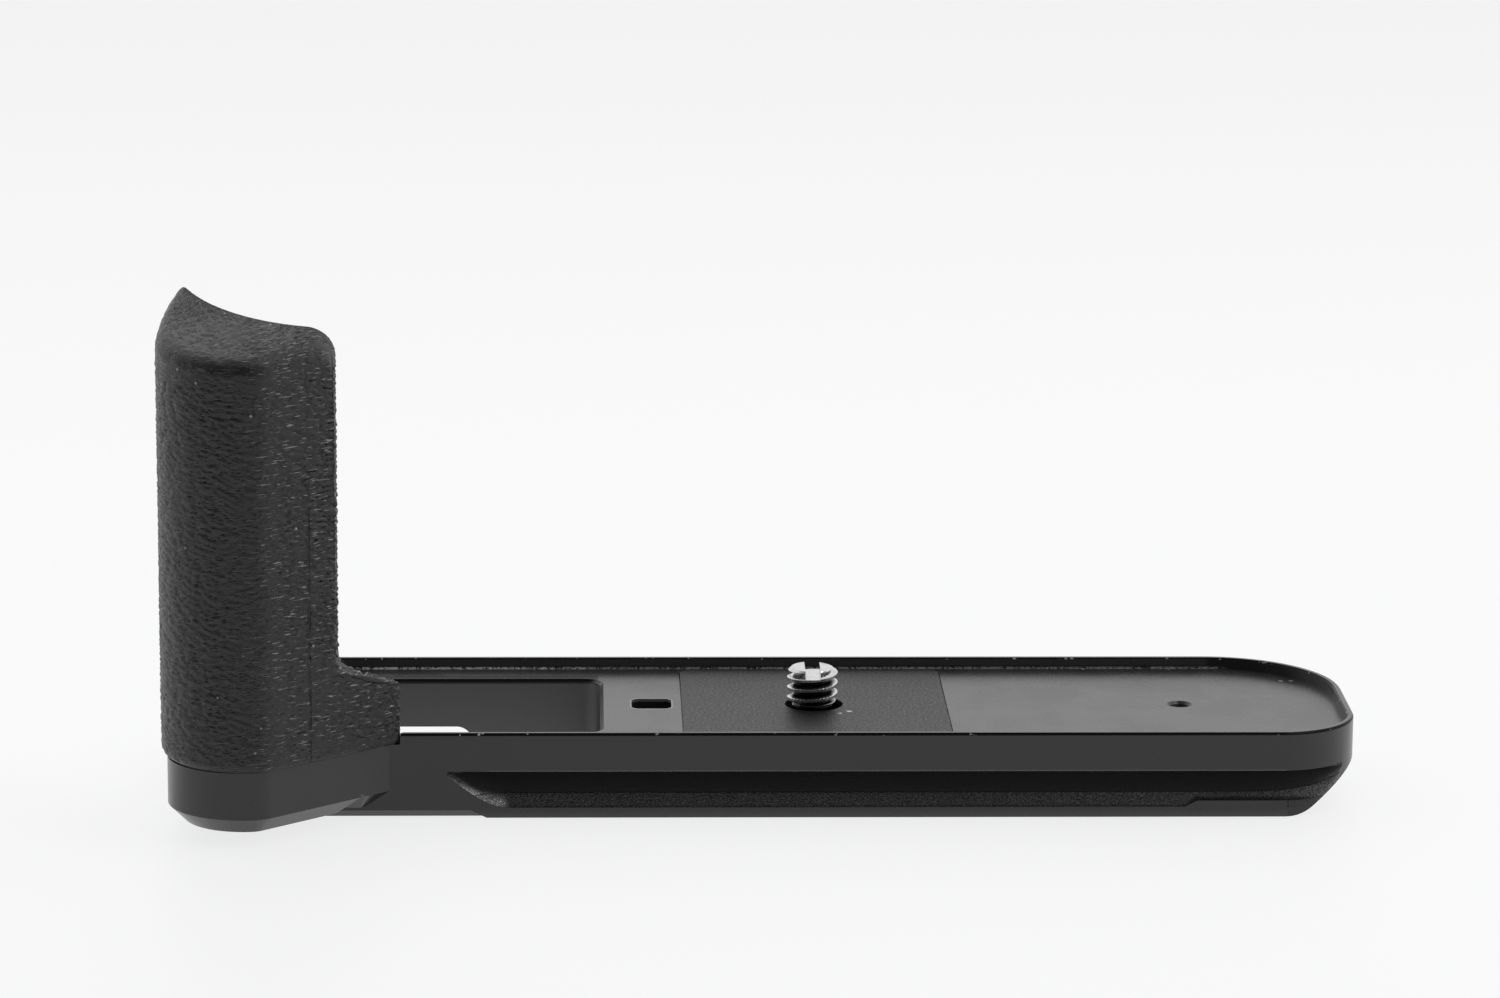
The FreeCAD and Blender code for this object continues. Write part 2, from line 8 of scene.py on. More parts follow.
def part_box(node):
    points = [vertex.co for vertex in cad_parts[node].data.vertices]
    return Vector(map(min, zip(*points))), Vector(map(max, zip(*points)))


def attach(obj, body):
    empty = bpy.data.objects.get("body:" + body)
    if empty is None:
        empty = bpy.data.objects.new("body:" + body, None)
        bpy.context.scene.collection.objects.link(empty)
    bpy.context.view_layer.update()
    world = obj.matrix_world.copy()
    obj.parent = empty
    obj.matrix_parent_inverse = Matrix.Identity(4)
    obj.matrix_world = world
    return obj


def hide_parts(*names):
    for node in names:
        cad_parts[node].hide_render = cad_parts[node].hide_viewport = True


# Looks of the camera hand grip: grained rubber skin on the finger column, black anodised plate,
# thin seat pad and a bright captive screw. Shapes are worked out in millimetres and put into
# the frame in metres. The frame's origin is on the camera screw's axis, at the plate's underside.
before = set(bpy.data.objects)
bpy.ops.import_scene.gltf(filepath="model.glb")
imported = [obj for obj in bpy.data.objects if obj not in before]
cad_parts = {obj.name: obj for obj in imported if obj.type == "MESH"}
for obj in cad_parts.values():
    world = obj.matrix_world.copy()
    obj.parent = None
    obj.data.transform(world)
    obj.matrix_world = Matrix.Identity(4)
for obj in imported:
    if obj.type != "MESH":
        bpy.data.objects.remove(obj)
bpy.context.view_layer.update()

MM = 0.001
quarter = 0.5 * math.pi      # a quarter turn
merge_steps = 2000.0         # points that round to the same step are one, with so many steps to a millimetre


def node_box(name):
    """Lowest and highest corner of a frame node, in millimetres."""
    low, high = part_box(name)
    return np.array(low) / MM, np.array(high) / MM


def heading(angle):
    """Unit vectors in plan at angles from the x axis."""
    return np.stack([np.cos(angle), np.sin(angle)], -1)


def on_circle(centre, radius, angle):
    """Points of a circle in plan at angles from the x axis."""
    return centre + radius * heading(angle)


# Camera, fitted to the photograph
photo_width = 1500.0
focal_pixels = 5706.24
camera_place = (-29.256, -693.408, 192.999)
camera_down = 12.769
camera_turn = 1.757
camera_roll = -0.395

# Column, in plan and in height
rim_press = 0.13             # the soft apron swells out to the rim's end
skin_low, skin_high = node_box("grip_skin")
column_left, nose_y, hem_z = skin_low
apron_end_x, wing_end_y, _ = skin_high + np.array([rim_press, 0.0, 0.0])
column_width = 21.4
wall_r = 66.0                # the left wall bends inwards to the wing
flank_r = 10.2
nose_r = 5.0
nose_turn = math.radians(-82.8)
apron_end_thickness = 0.75
camera_round_r = 21.8
camera_round_in = 22.6
camera_round_back = 18.7
camera_return_r = 8.0
camera_return_turn = math.radians(-101.0)
wing_back = 10.4
wing_solid = 3.4
rim_width = 0.9
top_z = 59.6
top_slope = 0.2
top_round = 1.8
shoulder_r = 3.4             # round where the top meets the right end
apron_corner_z = 17.0
apron_slope = 0.45
apron_corner_r = 1.6
apron_inner_r = 2.5
skin_thickness = 1.6
core_lap = 1.1               # the skin reaches this far in behind the bare core
right_soft = 0.8             # half-length of the rounding at the column's upright edges
wing_soft = 0.25
hem_left_r = 1.7             # the hem's round is larger at the left wall
hem_flank_r = 0.6

# Places that follow
plate_front = wing_end_y - wing_back
round_centre = np.array([column_left + flank_r, nose_y + flank_r])
wall_centre = np.array([column_left + wall_r, round_centre[1]])
wall_turn = math.asin((wing_end_y - wall_centre[1]) / wall_r)
wall_direction = np.array([-math.sin(wall_turn), -math.cos(wall_turn)])
column_right = column_left + column_width
nose_centre = on_circle(round_centre, flank_r - nose_r, nose_turn)
camera_centre = np.array([column_left + camera_round_in, plate_front + camera_round_back])
return_centre = on_circle(camera_centre, camera_round_r - camera_return_r, camera_return_turn)
apron_back = np.array([apron_end_x, plate_front + rim_width])
apron_front = apron_back - np.array([0.0, apron_end_thickness])

# Grain of the skin
grain_step = 0.22            # spacing of the skin's grid
hidden_stride = 6            # the camera side keeps one row in so many
grain_length = 2.8           # a pebble of the grain lies along the surface
grain_height = 0.74
grain_slant = 0.2            # its rows fall to the right
grain_depth = 0.24
end_grain = 1.9              # the grain of the two ends stands out more
top_grain = 0.95             # strength of the top's grain
edge_calm = 0.55             # less of it along the top's front edge
nose_calm = 0.4              # the nose is smoother
flank_gain = 0.3             # and the flank rougher
hem_fade = 1.2               # height over which the grain grows from the hem
top_fade = 2.5               # and over which it sinks below the top
elsewhere = 200.0            # hidden sides take their grain from another stretch
seam_x = -61.6               # faint upright seam on the flank
seam_top = 47.0

# Camera screw
screw_low, screw_high = node_box("camera_screw")
thread_r = 3.175
thread_pitch = 1.27
thread_depth = 0.85
thread_crest_z = 13.1        # a crest passes the front here
thread_bottom = 9.65
tip_bevel = 0.55
tip_slot_width = 1.9
tip_slot_depth = 0.95
head_r = 7.0
head_height = 3.0
head_bevel = 0.5
head_grooves = 60
coin_slot_width = 2.0
coin_slot_depth = 1.4
shank_r = 3.1
neck_r = 2.2
neck_low = 6.55
neck_high = 7.45
relief_r = 2.5

# Threaded bush and small threaded hole
bush_low, bush_high = node_box("tripod_bush")
bush_bore_r = 2.6
bush_bevel = 0.5
accessory_x = 46.3
accessory_r = 1.25
accessory_pitch = 0.5
accessory_depth = 0.2

# Plate features that its finish follows
plate_low, plate_high = node_box("base_plate")
rim_top = plate_high[2]
rim_bevel = 0.22
deck_z = hem_z
half_depth = plate_high[1]
groove_floor_y = half_depth - 4.0
groove_low_z = 1.25
groove_high_z = 5.25
groove_top_z = 5.85
groove_lit_z = 2.79          # the blasted lower part of the slope ends here
groove_end_x = -37.8
lip_raise_x = 45.2
lip_raise_run = 1.5
lip_raise = 0.8
sweep_x = 48.0               # from here the blasted part widens to the right end
sweep_length = 17.0
sweep_rise = 2.0
window_centre = (-20.2, 0.45)
window_half = (2.5, 2.4)
window_corner = 1.0
opening_right = -26.6
opening_back = 12.5

# Small marks on the deck and rim, as x, y, radius and tone
deck_marks = (
    (35.7, 17.7, 0.28, 0.5),
    (46.7, 17.7, 0.22, 0.5),
    (32.3, 1.1, 0.30, 0.001),
    (60.2, 11.0, 0.45, 0.002),
    (60.5, 11.5, 0.35, 0.35),
    (61.8, 11.5, 0.30, 0.35),
    (60.0, -15.6, 0.45, 0.002),
    (59.4, -15.4, 0.30, 0.4),
    (61.4, -16.0, 0.30, 0.4),)
pad_marks = (
    (4.5, -3.7, 0.42, 0.8),
    (3.3, -4.7, 0.34, 0.6),)


def tangent_angle(point, centre, radius):
    """Direction of the line that leaves a circle on its lower right side and ends at a point."""
    across, up = centre - point
    aside = math.asin(radius / math.hypot(across, up))
    return math.remainder(math.atan2(up, across) + math.pi + aside, 2 * math.pi)


flank = tangent_angle(apron_front, nose_centre, nose_r)
flank_direction = heading(flank)
flank_start = on_circle(nose_centre, nose_r, flank - quarter)
camera_return = tangent_angle(apron_back, return_centre, camera_return_r)
return_end = on_circle(return_centre, camera_return_r, camera_return - quarter)


# Grids and meshes

def grid_quads(rows, columns, first=0, wrap_rows=False, wrap_columns=False):
    """Quads of a grid numbered row by row; wrapping joins the last row or column to the first."""
    index = first + np.arange(rows * columns).reshape(rows, columns)
    if wrap_rows:
        index = np.vstack([index, index[:1]])
    if wrap_columns:
        index = np.hstack([index, index[:, :1]])
    return np.stack([index[:-1, :-1], index[:-1, 1:], index[1:, 1:], index[1:, :-1]], axis=-1).reshape(-1, 4)


def merged(points, quads, extra):
    """Points that coincide become one, and quads are renumbered; extra is a value per point."""
    keys = np.round(points * merge_steps).astype(np.int64)
    _, first, inverse = np.unique(keys, axis=0, return_index=True, return_inverse=True)
    return points[first], inverse.reshape(-1)[quads], extra[first]


def split_faces(quads):
    """Quads with two equal neighbours become triangles, and emptier ones are dropped."""
    same = quads == np.roll(quads, -1, axis=1)
    count = same.sum(axis=1)
    across = (quads[:, 0] == quads[:, 2]) | (quads[:, 1] == quads[:, 3])
    whole = quads[(count == 0) & ~across]
    single = (count == 1) & ~across
    kept = ~same[single]
    triangles = quads[single][kept].reshape(-1, 3)
    return whole, triangles


def vertex_normals(points, quads):
    """Area-weighted normals: each quad's crossed diagonals, added up at its corners."""
    crossed = np.cross(points[quads[:, 2]] - points[quads[:, 0]], points[quads[:, 3]] - points[quads[:, 1]])
    total = np.zeros_like(points)
    for corner in range(4):
        for axis in range(3):
            total[:, axis] += np.bincount(quads[:, corner], crossed[:, axis], len(points))
    return total / np.maximum(np.linalg.norm(total, axis=1), 1e-12)[:, None]


def smooth_faces(mesh, sharp):
    """Smooth shading, apart from edges sharper than an angle in degrees."""
    mesh.polygons.foreach_set("use_smooth", np.ones(len(mesh.polygons), bool))
    mesh.set_sharp_from_angle(angle=math.radians(sharp))


def new_object(name, data):
    """An object at the origin, linked to the scene."""
    item = bpy.data.objects.new(name, data)
    bpy.context.scene.collection.objects.link(item)
    return item


def make_piece(name, points, quads, body, sharp):
    """A mesh object from points in millimetres."""
    whole, triangles = split_faces(quads)
    mesh = bpy.data.meshes.new(name)
    mesh.from_pydata((points * MM).tolist(), [], whole.tolist() + triangles.tolist())
    mesh.validate()
    smooth_faces(mesh, sharp)
    mesh.update()
    piece = new_object(name, mesh)
    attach(piece, body)
    return piece


def give(piece, material):
    """The piece shows this material alone."""
    piece.data.materials.clear()
    piece.data.materials.append(material)


# Grain of the rubber

def hashed(i, j, salt):
    """A repeatable number from 0 to 1 for each lattice point."""
    mixed = (i.astype(np.int64) * 374761393 + j.astype(np.int64) * 668265263 + salt * 1274126177) & 0xFFFFFFFF
    mixed = ((mixed ^ (mixed >> 13)) * 1103515245) & 0xFFFFFFFF
    mixed = ((mixed ^ (mixed >> 15)) * 668265263) & 0xFFFFFFFF
    return (mixed ^ (mixed >> 16)) / 4294967296.0


def value_noise(u, v, salt):
    """Lattice values blended by smooth steps, from -1 to 1."""
    i, j = np.floor(u), np.floor(v)
    s, t = u - i, v - j
    s, t = s * s * (3 - 2 * s), t * t * (3 - 2 * t)
    low = hashed(i, j, salt) * (1 - s) + hashed(i + 1, j, salt) * s
    high = hashed(i, j + 1, salt) * (1 - s) + hashed(i + 1, j + 1, salt) * s
    return 2 * (low * (1 - t) + high * t) - 1


def pebbles(u, v, salt):
    """Cells round scattered points: distance to the second nearest point less that to the nearest, and how
    far above the place its own cell's point lies."""
    i, j = np.floor(u), np.floor(v)
    near = np.full(u.shape, 9.0)
    second = np.full(u.shape, 9.0)
    above = np.zeros(u.shape)
    for di in (-1, 0, 1):
        for dj in (-1, 0, 1):
            x = i + di + 0.1 + 0.8 * hashed(i + di, j + dj, salt)
            y = j + dj + 0.1 + 0.8 * hashed(i + di, j + dj, salt + 7)
            gap = np.hypot(u - x, v - y)
            above = np.where(gap < near, y - v, above)
            second = np.minimum(second, np.maximum(near, gap))
            near = np.minimum(near, gap)
    return second - near, above


def grain(along, up):
    """Height of the leather grain: pebbles drawn out along the surface and bent by a slow noise, each a
    little raised along its lower side, with narrow creases between them and finer wrinkles on top."""
    u = along / grain_length + 0.4 * value_noise(along / 3.0, up / 2.0, 5)
    v = (up + grain_slant * along) / grain_height + 0.8 * value_noise(along / 4.5, up / 2.5, 3)
    crease, above = pebbles(u, v, 11)
    pebble = 1.0 - np.exp(-crease / 0.2)
    small, small_above = pebbles(u * 1.7, v * 1.9, 41)
    wrinkle = (1.0 - np.exp(-small / 0.25)) * (0.8 + 0.7 * small_above) - 0.55
    lift = 0.75 + 0.2 * value_noise(along / 5.0, up / 5.0, 31)
    return lift * (pebble * (1.0 + 0.55 * above) - 0.6) + 0.4 * wrinkle


# Skin of the finger column

def right_edge(z):
    """The column's right outline from the front, as x for a height: the apron's upright end, round corner
    and slope, the round in the corner below the column, and the column's upright side."""
    lean = math.atan(apron_slope)
    half_turn = math.tan(0.5 * (quarter - lean))
    low_z = apron_corner_z - apron_corner_r * half_turn
    round_z = apron_corner_z + apron_corner_r * half_turn * math.sin(lean)
    inner_z = apron_corner_z + apron_slope * (apron_end_x - column_right)
    slope_z = inner_z - apron_inner_r * half_turn * math.sin(lean)
    upright_z = inner_z + apron_inner_r * half_turn
    outer = np.sqrt(np.maximum(apron_corner_r ** 2 - (z - low_z) ** 2, 0.0))
    inner = np.sqrt(np.maximum(apron_inner_r ** 2 - (z - upright_z) ** 2, 0.0))
    return np.select(
        [z < low_z, z < round_z, z < slope_z, z < upright_z],
        [apron_end_x + 0.0 * z, apron_end_x - apron_corner_r + outer,
         apron_end_x - (z - apron_corner_z) / apron_slope, column_right + apron_inner_r - inner],
        column_right + 0.0 * z)


def outer_columns():
    """Columns of the skin's outer side: fixed points on the left wall, the large round and the nose, and
    shares of the flank that crowd towards its end, where the top rounds over."""
    wall = math.pi - np.linspace(wall_turn, 0.0, int(wall_r * wall_turn / grain_step))
    big = np.linspace(-math.pi, nose_turn, int(flank_r * (nose_turn + math.pi) / grain_step))[1:]
    small = np.linspace(nose_turn, flank - quarter, 18)[1:]
    fixed = np.vstack([on_circle(wall_centre, wall_r, wall), on_circle(round_centre, flank_r, big),
                       on_circle(nose_centre, nose_r, small)])
    crowd = shoulder_r / (column_right - flank_start[0])
    plain = np.linspace(0.0, 1.0 - crowd, 24)[1:]
    close = 1.0 - crowd * (1.0 - np.sin(np.linspace(0.0, quarter, 52)[1:]))
    return fixed, np.concatenate([plain, close])


def softened(points, corner, before, after, soft):
    """Points near a corner move on to a quadratic curve between two points a soft length from the corner.
    A point's run past the corner, negative before it, is its place on the curve."""
    from_corner = points - corner
    size = np.linalg.norm(from_corner, axis=-1)
    past = np.sum(from_corner * after, -1) > np.sum(-from_corner * before, -1)
    run = np.where(past, size, -size)
    s = np.clip((run + soft) / (2 * soft), 0.0, 1.0)[..., None]
    curve = corner + soft * (s * s * after - (1 - s) ** 2 * before)
    return np.where(np.abs(run)[..., None] < soft, curve, points)


def back_path(right_x, fractions):
    """The camera's side in plan for each right end, from the wing by a share of its length: the larger round,
    the smaller round and the straight stretch behind the apron."""
    wing_angle = -math.pi - math.asin((wing_end_y - camera_centre[1]) / camera_round_r)
    big_length = camera_round_r * (camera_return_turn - wing_angle)
    straight = right_x > return_end[0]
    end_angle = np.where(straight, camera_return - quarter,
                         -np.arccos(np.clip((right_x - return_centre[0]) / camera_return_r, -1.0, 1.0)))
    small_length = camera_return_r * (end_angle - camera_return_turn)
    line_length = np.where(straight, (right_x - return_end[0]) / math.cos(camera_return), 0.0)
    run = fractions * (big_length + small_length + line_length)
    big_angle = wing_angle + run / camera_round_r
    small_angle = camera_return_turn + np.maximum(run - big_length, 0.0) / camera_return_r
    beyond = np.maximum(run - big_length - small_length, 0.0)
    on_big = on_circle(camera_centre, camera_round_r, big_angle)
    on_small = on_circle(return_centre, camera_return_r, small_angle)
    on_line = return_end + beyond[..., None] * heading(camera_return)
    inner = np.where((run < big_length)[..., None], on_big, on_small)
    return np.where((beyond > 1e-6)[..., None], on_line, inner)


def distance_to_line(points, line):
    """Shortest distance from each point to a chain of straight pieces."""
    start, piece = line[:-1], np.diff(line, axis=0)
    size = np.maximum(np.sum(piece * piece, axis=1), 1e-12)
    offset = points[:, None, :] - start[None, :, :]
    share = np.clip(np.sum(offset * piece, axis=2) / size, 0.0, 1.0)
    return np.linalg.norm(offset - share[..., None] * piece, axis=2).min(axis=1)


def quarter_drop(depth_in, radius):
    """How far a round lies under its flat side, this far into it: a quarter circle."""
    inside = np.clip(depth_in, 0.0, radius)
    return radius - np.sqrt(radius ** 2 - inside ** 2)


def top_level(plan):
    """Height of the top's sloping plane, less the large round at the right end."""
    plane = top_z + top_slope * (plan[..., 1] - nose_y)
    return plane - quarter_drop(plan[..., 0] - column_right + shoulder_r, shoulder_r)


def run_along(path):
    """Length of each path from its start to each of its points; a path lies along the last axis but one."""
    run = np.cumsum(np.linalg.norm(np.diff(path, axis=-2), axis=-1), axis=-1)
    return np.concatenate([np.zeros_like(run[..., :1]), run], axis=-1)


def row_heights(top):
    """Height of every row under each top height: level rows from the hem up past the apron, then even shares
    of the rest."""
    split_z = apron_corner_z + 8.0
    hem = hem_z + hem_left_r * (1.0 - np.cos(np.linspace(0.0, quarter, 9)))
    level = np.concatenate([hem, np.arange(hem[-1] + grain_step, split_z, grain_step)])
    shares = np.linspace(0.0, 1.0, int((top_z - split_z) / grain_step))
    low = np.repeat(level[:, None], len(top), axis=1)
    return np.vstack([low, split_z + shares[:, None] * (top[None, :] - split_z)])


def skin_sections():
    """Plan of the skin's outer side and camera side for every row, and the rows' heights."""
    fixed, flank_share = outer_columns()
    flank_run = flank_share[:, None] * (column_right - flank_start[0]) / flank_direction[0]
    top_line = np.vstack([fixed, flank_start + flank_run * flank_direction])
    height = row_heights(top_level(top_line) - top_round)
    rows, columns = height.shape
    right = right_edge(height[:, -1])
    flank_x = flank_start[0] + flank_share[None, :] * (right[:, None] - flank_start[0])
    flank_points = np.stack([flank_x, flank_start[1] + (flank_x - flank_start[0]) * math.tan(flank)], -1)
    outer = np.concatenate([np.repeat(fixed[None], rows, axis=0), flank_points], axis=1)
    share = run_along(top_line) / run_along(top_line)[-1]
    back = back_path(np.repeat(right[:, None], columns, axis=1), np.repeat(share[None], rows, axis=0))
    return outer, back, height


def across_shares(width):
    """Shares of the way across the top: crowded over the round at the outer edge, then even."""
    turn = np.linspace(0.0, quarter, 13)
    edge = np.minimum(1.15 * top_round, 0.6 * width)
    rounded = edge[None, :] * (1.0 - np.cos(turn))[:, None]
    even = edge[None, :] + np.linspace(0.0, 1.0, 31)[1:, None] * (width - edge)[None, :]
    return np.vstack([rounded, even]) / width[None, :]


def hem_inset(height, along):
    """How far the hem's round draws the wall in near its lower edge; it is largest at the left wall."""
    radius = np.interp(along, [0.0, 5.0, 14.0, 34.0], [wing_soft, hem_left_r, hem_left_r, hem_flank_r])
    return quarter_drop(radius - (height - hem_z), radius[None, :])


def right_hand(path):
    """Unit vectors in plan that point to the right of a path."""
    step = np.gradient(path, axis=-2)
    normal = np.stack([step[..., 1], -step[..., 0]], -1)
    return normal / np.maximum(np.linalg.norm(normal, axis=-1), 1e-9)[..., None]


def across(start, end, share):
    """Points at a share of the way from one point to another."""
    return start + share[..., None] * (end - start)


def with_height(plan, height):
    """Points in space from points in plan and their heights."""
    return np.concatenate([plan, height[..., None]], axis=-1)


def grain_strength(height, off_nose, over):
    """Strength of the grain on the outer wall and on the top: it fades to the hem and to the top's edge, is
    weaker round the nose and stronger on the flank, and has a calm band along the top's front edge."""
    above_hem = np.clip((height - hem_z) / hem_fade, 0.0, 1.0)
    below_top = 0.35 + 0.65 * np.clip((height[-1:] - height) / top_fade, 0.0, 1.0)
    nose = nose_calm * np.exp(-((off_nose + 2.5) / 3.0) ** 2)
    wall = above_hem * below_top * (1.0 - nose + flank_gain * np.clip(off_nose / 2.0, 0.0, 1.0))
    return wall, top_grain - edge_calm * np.exp(-((over - 1.4) / 1.6) ** 2)


def skin_surface():
    """The whole closed skin: outer wall, top, camera side and underside joined round every column of the
    plan, and a wall at each end. Returns points, quads and, per point, the grain's place and strength."""
    outer, back, height = skin_sections()
    rows, columns = height.shape
    top_outer, top_back = outer[-1], back[-1]
    shares = across_shares(np.linalg.norm(top_back - top_outer, axis=1))
    kept, nearest = thinned(rows, hidden_stride, 10)
    under_kept, under_nearest = thinned(len(shares), hidden_stride, 2)

    ends = {}
    for column, before, after, soft in ((-1, flank_direction, np.array([0.0, 1.0]), right_soft),
                                        (0, np.array([-1.0, 0.0]), wall_direction, wing_soft)):
        corner = outer[:, [column]]
        end = across(corner, back[:, [column]], shares[:, column])
        outer = softened(outer, corner, before, after, soft)
        ends[column] = softened(end, corner, before, after, soft)

    along = run_along(outer)
    wall_plan = outer - right_hand(outer) * hem_inset(height, run_along(top_outer))[..., None]

    plan_top = across(outer[-1], top_back, shares)
    for column, end in ends.items():
        plan_top[:, column] = end[-1]
    edge_distance = distance_to_line(plan_top.reshape(-1, 2), outer[-1]).reshape(plan_top.shape[:2])
    z_top = top_level(plan_top) - quarter_drop(top_round - edge_distance, top_round)
    z_back = row_heights(z_top[-1])

    recess = skin_recess(back, z_back, z_top[-1])
    sunk = back + right_hand(back) * recess[..., None]
    under = across(wall_plan[0], back[0], shares)

    end_heights = {}
    for column, end in ends.items():
        z = row_heights(z_top[:, column])
        z[:, 0] = height[:, column]
        z[:, -1] = z[nearest, -1]
        end[:, 0] = wall_plan[:, column]
        end[0] = under[under_nearest, column]
        end[:, -1] = sunk[nearest, column]
        end_heights[column] = z

    under = under[under_kept]
    wall_up = height - hem_z
    top_grid = with_height(plan_top, z_top)
    over = run_along(top_grid.swapaxes(0, 1)).T
    inner = slice(1, -1)
    under_grid = with_height(under, np.full(under.shape[:2], hem_z))
    ring = np.concatenate([with_height(wall_plan, height), top_grid[inner],
                           with_height(sunk, z_back)[kept][::-1], under_grid[::-1][inner]])
    over_along = np.repeat(along[-1:], len(shares) - 2, 0)
    under_along = np.repeat(along[:1], len(under) - 2, 0)
    back_along = along[kept][::-1] + elsewhere
    ring_along = np.concatenate([along, over_along, back_along, under_along + 2 * elsewhere])
    flat = np.zeros((len(under) - 2, columns))
    ring_up = np.concatenate([wall_up, wall_up[-1] + over[inner], wall_up[kept][::-1], flat])
    on_wall, on_top = grain_strength(height, outer[..., 0] - flank_start[0], over[inner])
    strength = np.concatenate([on_wall, on_top, np.zeros((len(kept), columns)), flat])

    points = [ring.reshape(-1, 3)]
    extra = [np.stack([ring_along, ring_up, strength], -1).reshape(-1, 3)]
    quads = [grid_quads(len(ring), columns, 0, wrap_rows=True)]
    start = len(points[0])
    for column, side in ((0, -1.0), (-1, 1.0)):
        plan, z = ends[column], end_heights[column]
        run = run_along(plan)
        power = end_grain * np.clip(run / 0.4, 0.2, 1.0) * np.clip((run[:, -1:] - run) / 0.6, 0.0, 1.0)
        power[:, 0] = on_wall[:, column]
        points.append(with_height(plan, z).reshape(-1, 3))
        extra.append(np.stack([along[:, [column]] + side * run, z - hem_z, power], -1).reshape(-1, 3))
        patch = grid_quads(rows, plan.shape[1], start)
        quads.append(patch if side > 0 else patch[:, ::-1])
        start += len(points[-1])
    return np.concatenate(points), np.concatenate(quads), np.concatenate(extra)


def thinned(count, stride, close):
    """Places that a coarser grid keeps, the last few all among them, and the kept one at or before each."""
    kept = np.unique(np.concatenate([np.arange(0, count - close, stride), np.arange(count - close, count)]))
    return kept, kept[np.searchsorted(kept, np.arange(count), side="right") - 1]


def skin_recess(back, z_back, z_edge):
    """The camera side is drawn in behind the bare core, except for the wing's end, a band as wide as the skin
    is thick along the top and the right side, and the whole of the apron."""
    inside = (back[..., 1] < wing_end_y - wing_solid) & (back[..., 0] < column_right - skin_thickness)
    inside &= z_edge[None, :] - z_back > skin_thickness
    return np.where(inside, core_lap, 0.0)


def grip_skin_piece():
    """The closed skin with its grain raised along the normals."""
    points, quads, extra = skin_surface()
    points, quads, extra = merged(points, quads, extra)
    normals = vertex_normals(points, quads)
    along, up, strength = extra.T
    height = grain_depth * strength * grain(along, up)
    raised = points + normals * height[:, None]
    piece = make_piece("skin_grained", raised, quads, "base", sharp=50)
    mark = piece.data.attributes.new("grain_place", "FLOAT_VECTOR", "POINT")
    mark.data.foreach_set("vector", extra.astype(np.float32).ravel())
    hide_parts("grip_skin")
    return piece


# Turned pieces with threads

def thread_height(z, around, pitch, crest_z):
    """Share of a V thread's depth: one at the flat crest, none at the narrow root, straight flanks between.
    The phase climbs one pitch for each turn to the left seen from above."""
    phase = (z[:, None] - crest_z) / pitch - (around + quarter) / (2 * math.pi)
    off_crest = np.abs(phase - np.round(phase))
    return np.clip((0.48 - off_crest) / 0.35, 0.0, 1.0)


def full_turn(count):
    """Evenly spaced angles round the axis."""
    return np.linspace(0.0, 2 * math.pi, count, endpoint=False)


def plain_rows(rows, around):
    """Radius at each angle, and height, of rows that are round."""
    radius, height = np.array(rows).T
    return np.repeat(radius[:, None], len(around), 1), height


def turned(parts, around, middle=(0.0, 0.0), closed=True):
    """Points and quads of a profile carried round an upright axis. Its parts are rows of radius, which may
    differ for each angle, and of height; a closed profile joins its last row to its first."""
    radius = np.vstack([part[0] for part in parts])
    height = np.concatenate([part[1] for part in parts])
    points = np.stack([radius * np.cos(around) + middle[0], radius * np.sin(around) + middle[1],
                       np.broadcast_to(height[:, None], radius.shape)], -1)
    return points.reshape(-1, 3), grid_quads(len(height), len(around), wrap_rows=closed, wrap_columns=True)


def cut_slot(piece, low, high):
    """A straight slot cut through a piece, as a box between two corners in millimetres."""
    box = bmesh.new()
    size = [b - a for a, b in zip(low, high)]
    centre = [0.5 * (a + b) for a, b in zip(low, high)]
    placed = Matrix.LocRotScale(Vector(centre) * MM, None, Vector(size) * MM)
    bmesh.ops.create_cube(box, size=1.0, matrix=placed)
    mesh = bpy.data.meshes.new("slot_cutter")
    box.to_mesh(mesh)
    box.free()
    cutter = new_object("slot_cutter", mesh)
    cut = piece.modifiers.new("slot", "BOOLEAN")
    cut.object = cutter
    cut.operation = "DIFFERENCE"
    cut.solver = "EXACT"
    graph = bpy.context.evaluated_depsgraph_get()
    shaped = bpy.data.meshes.new_from_object(piece.evaluated_get(graph))
    piece.modifiers.clear()
    old = piece.data
    piece.data = shaped
    bpy.data.meshes.remove(old)
    bpy.data.objects.remove(cutter)
    bpy.data.meshes.remove(mesh)
    shaped.name = piece.name


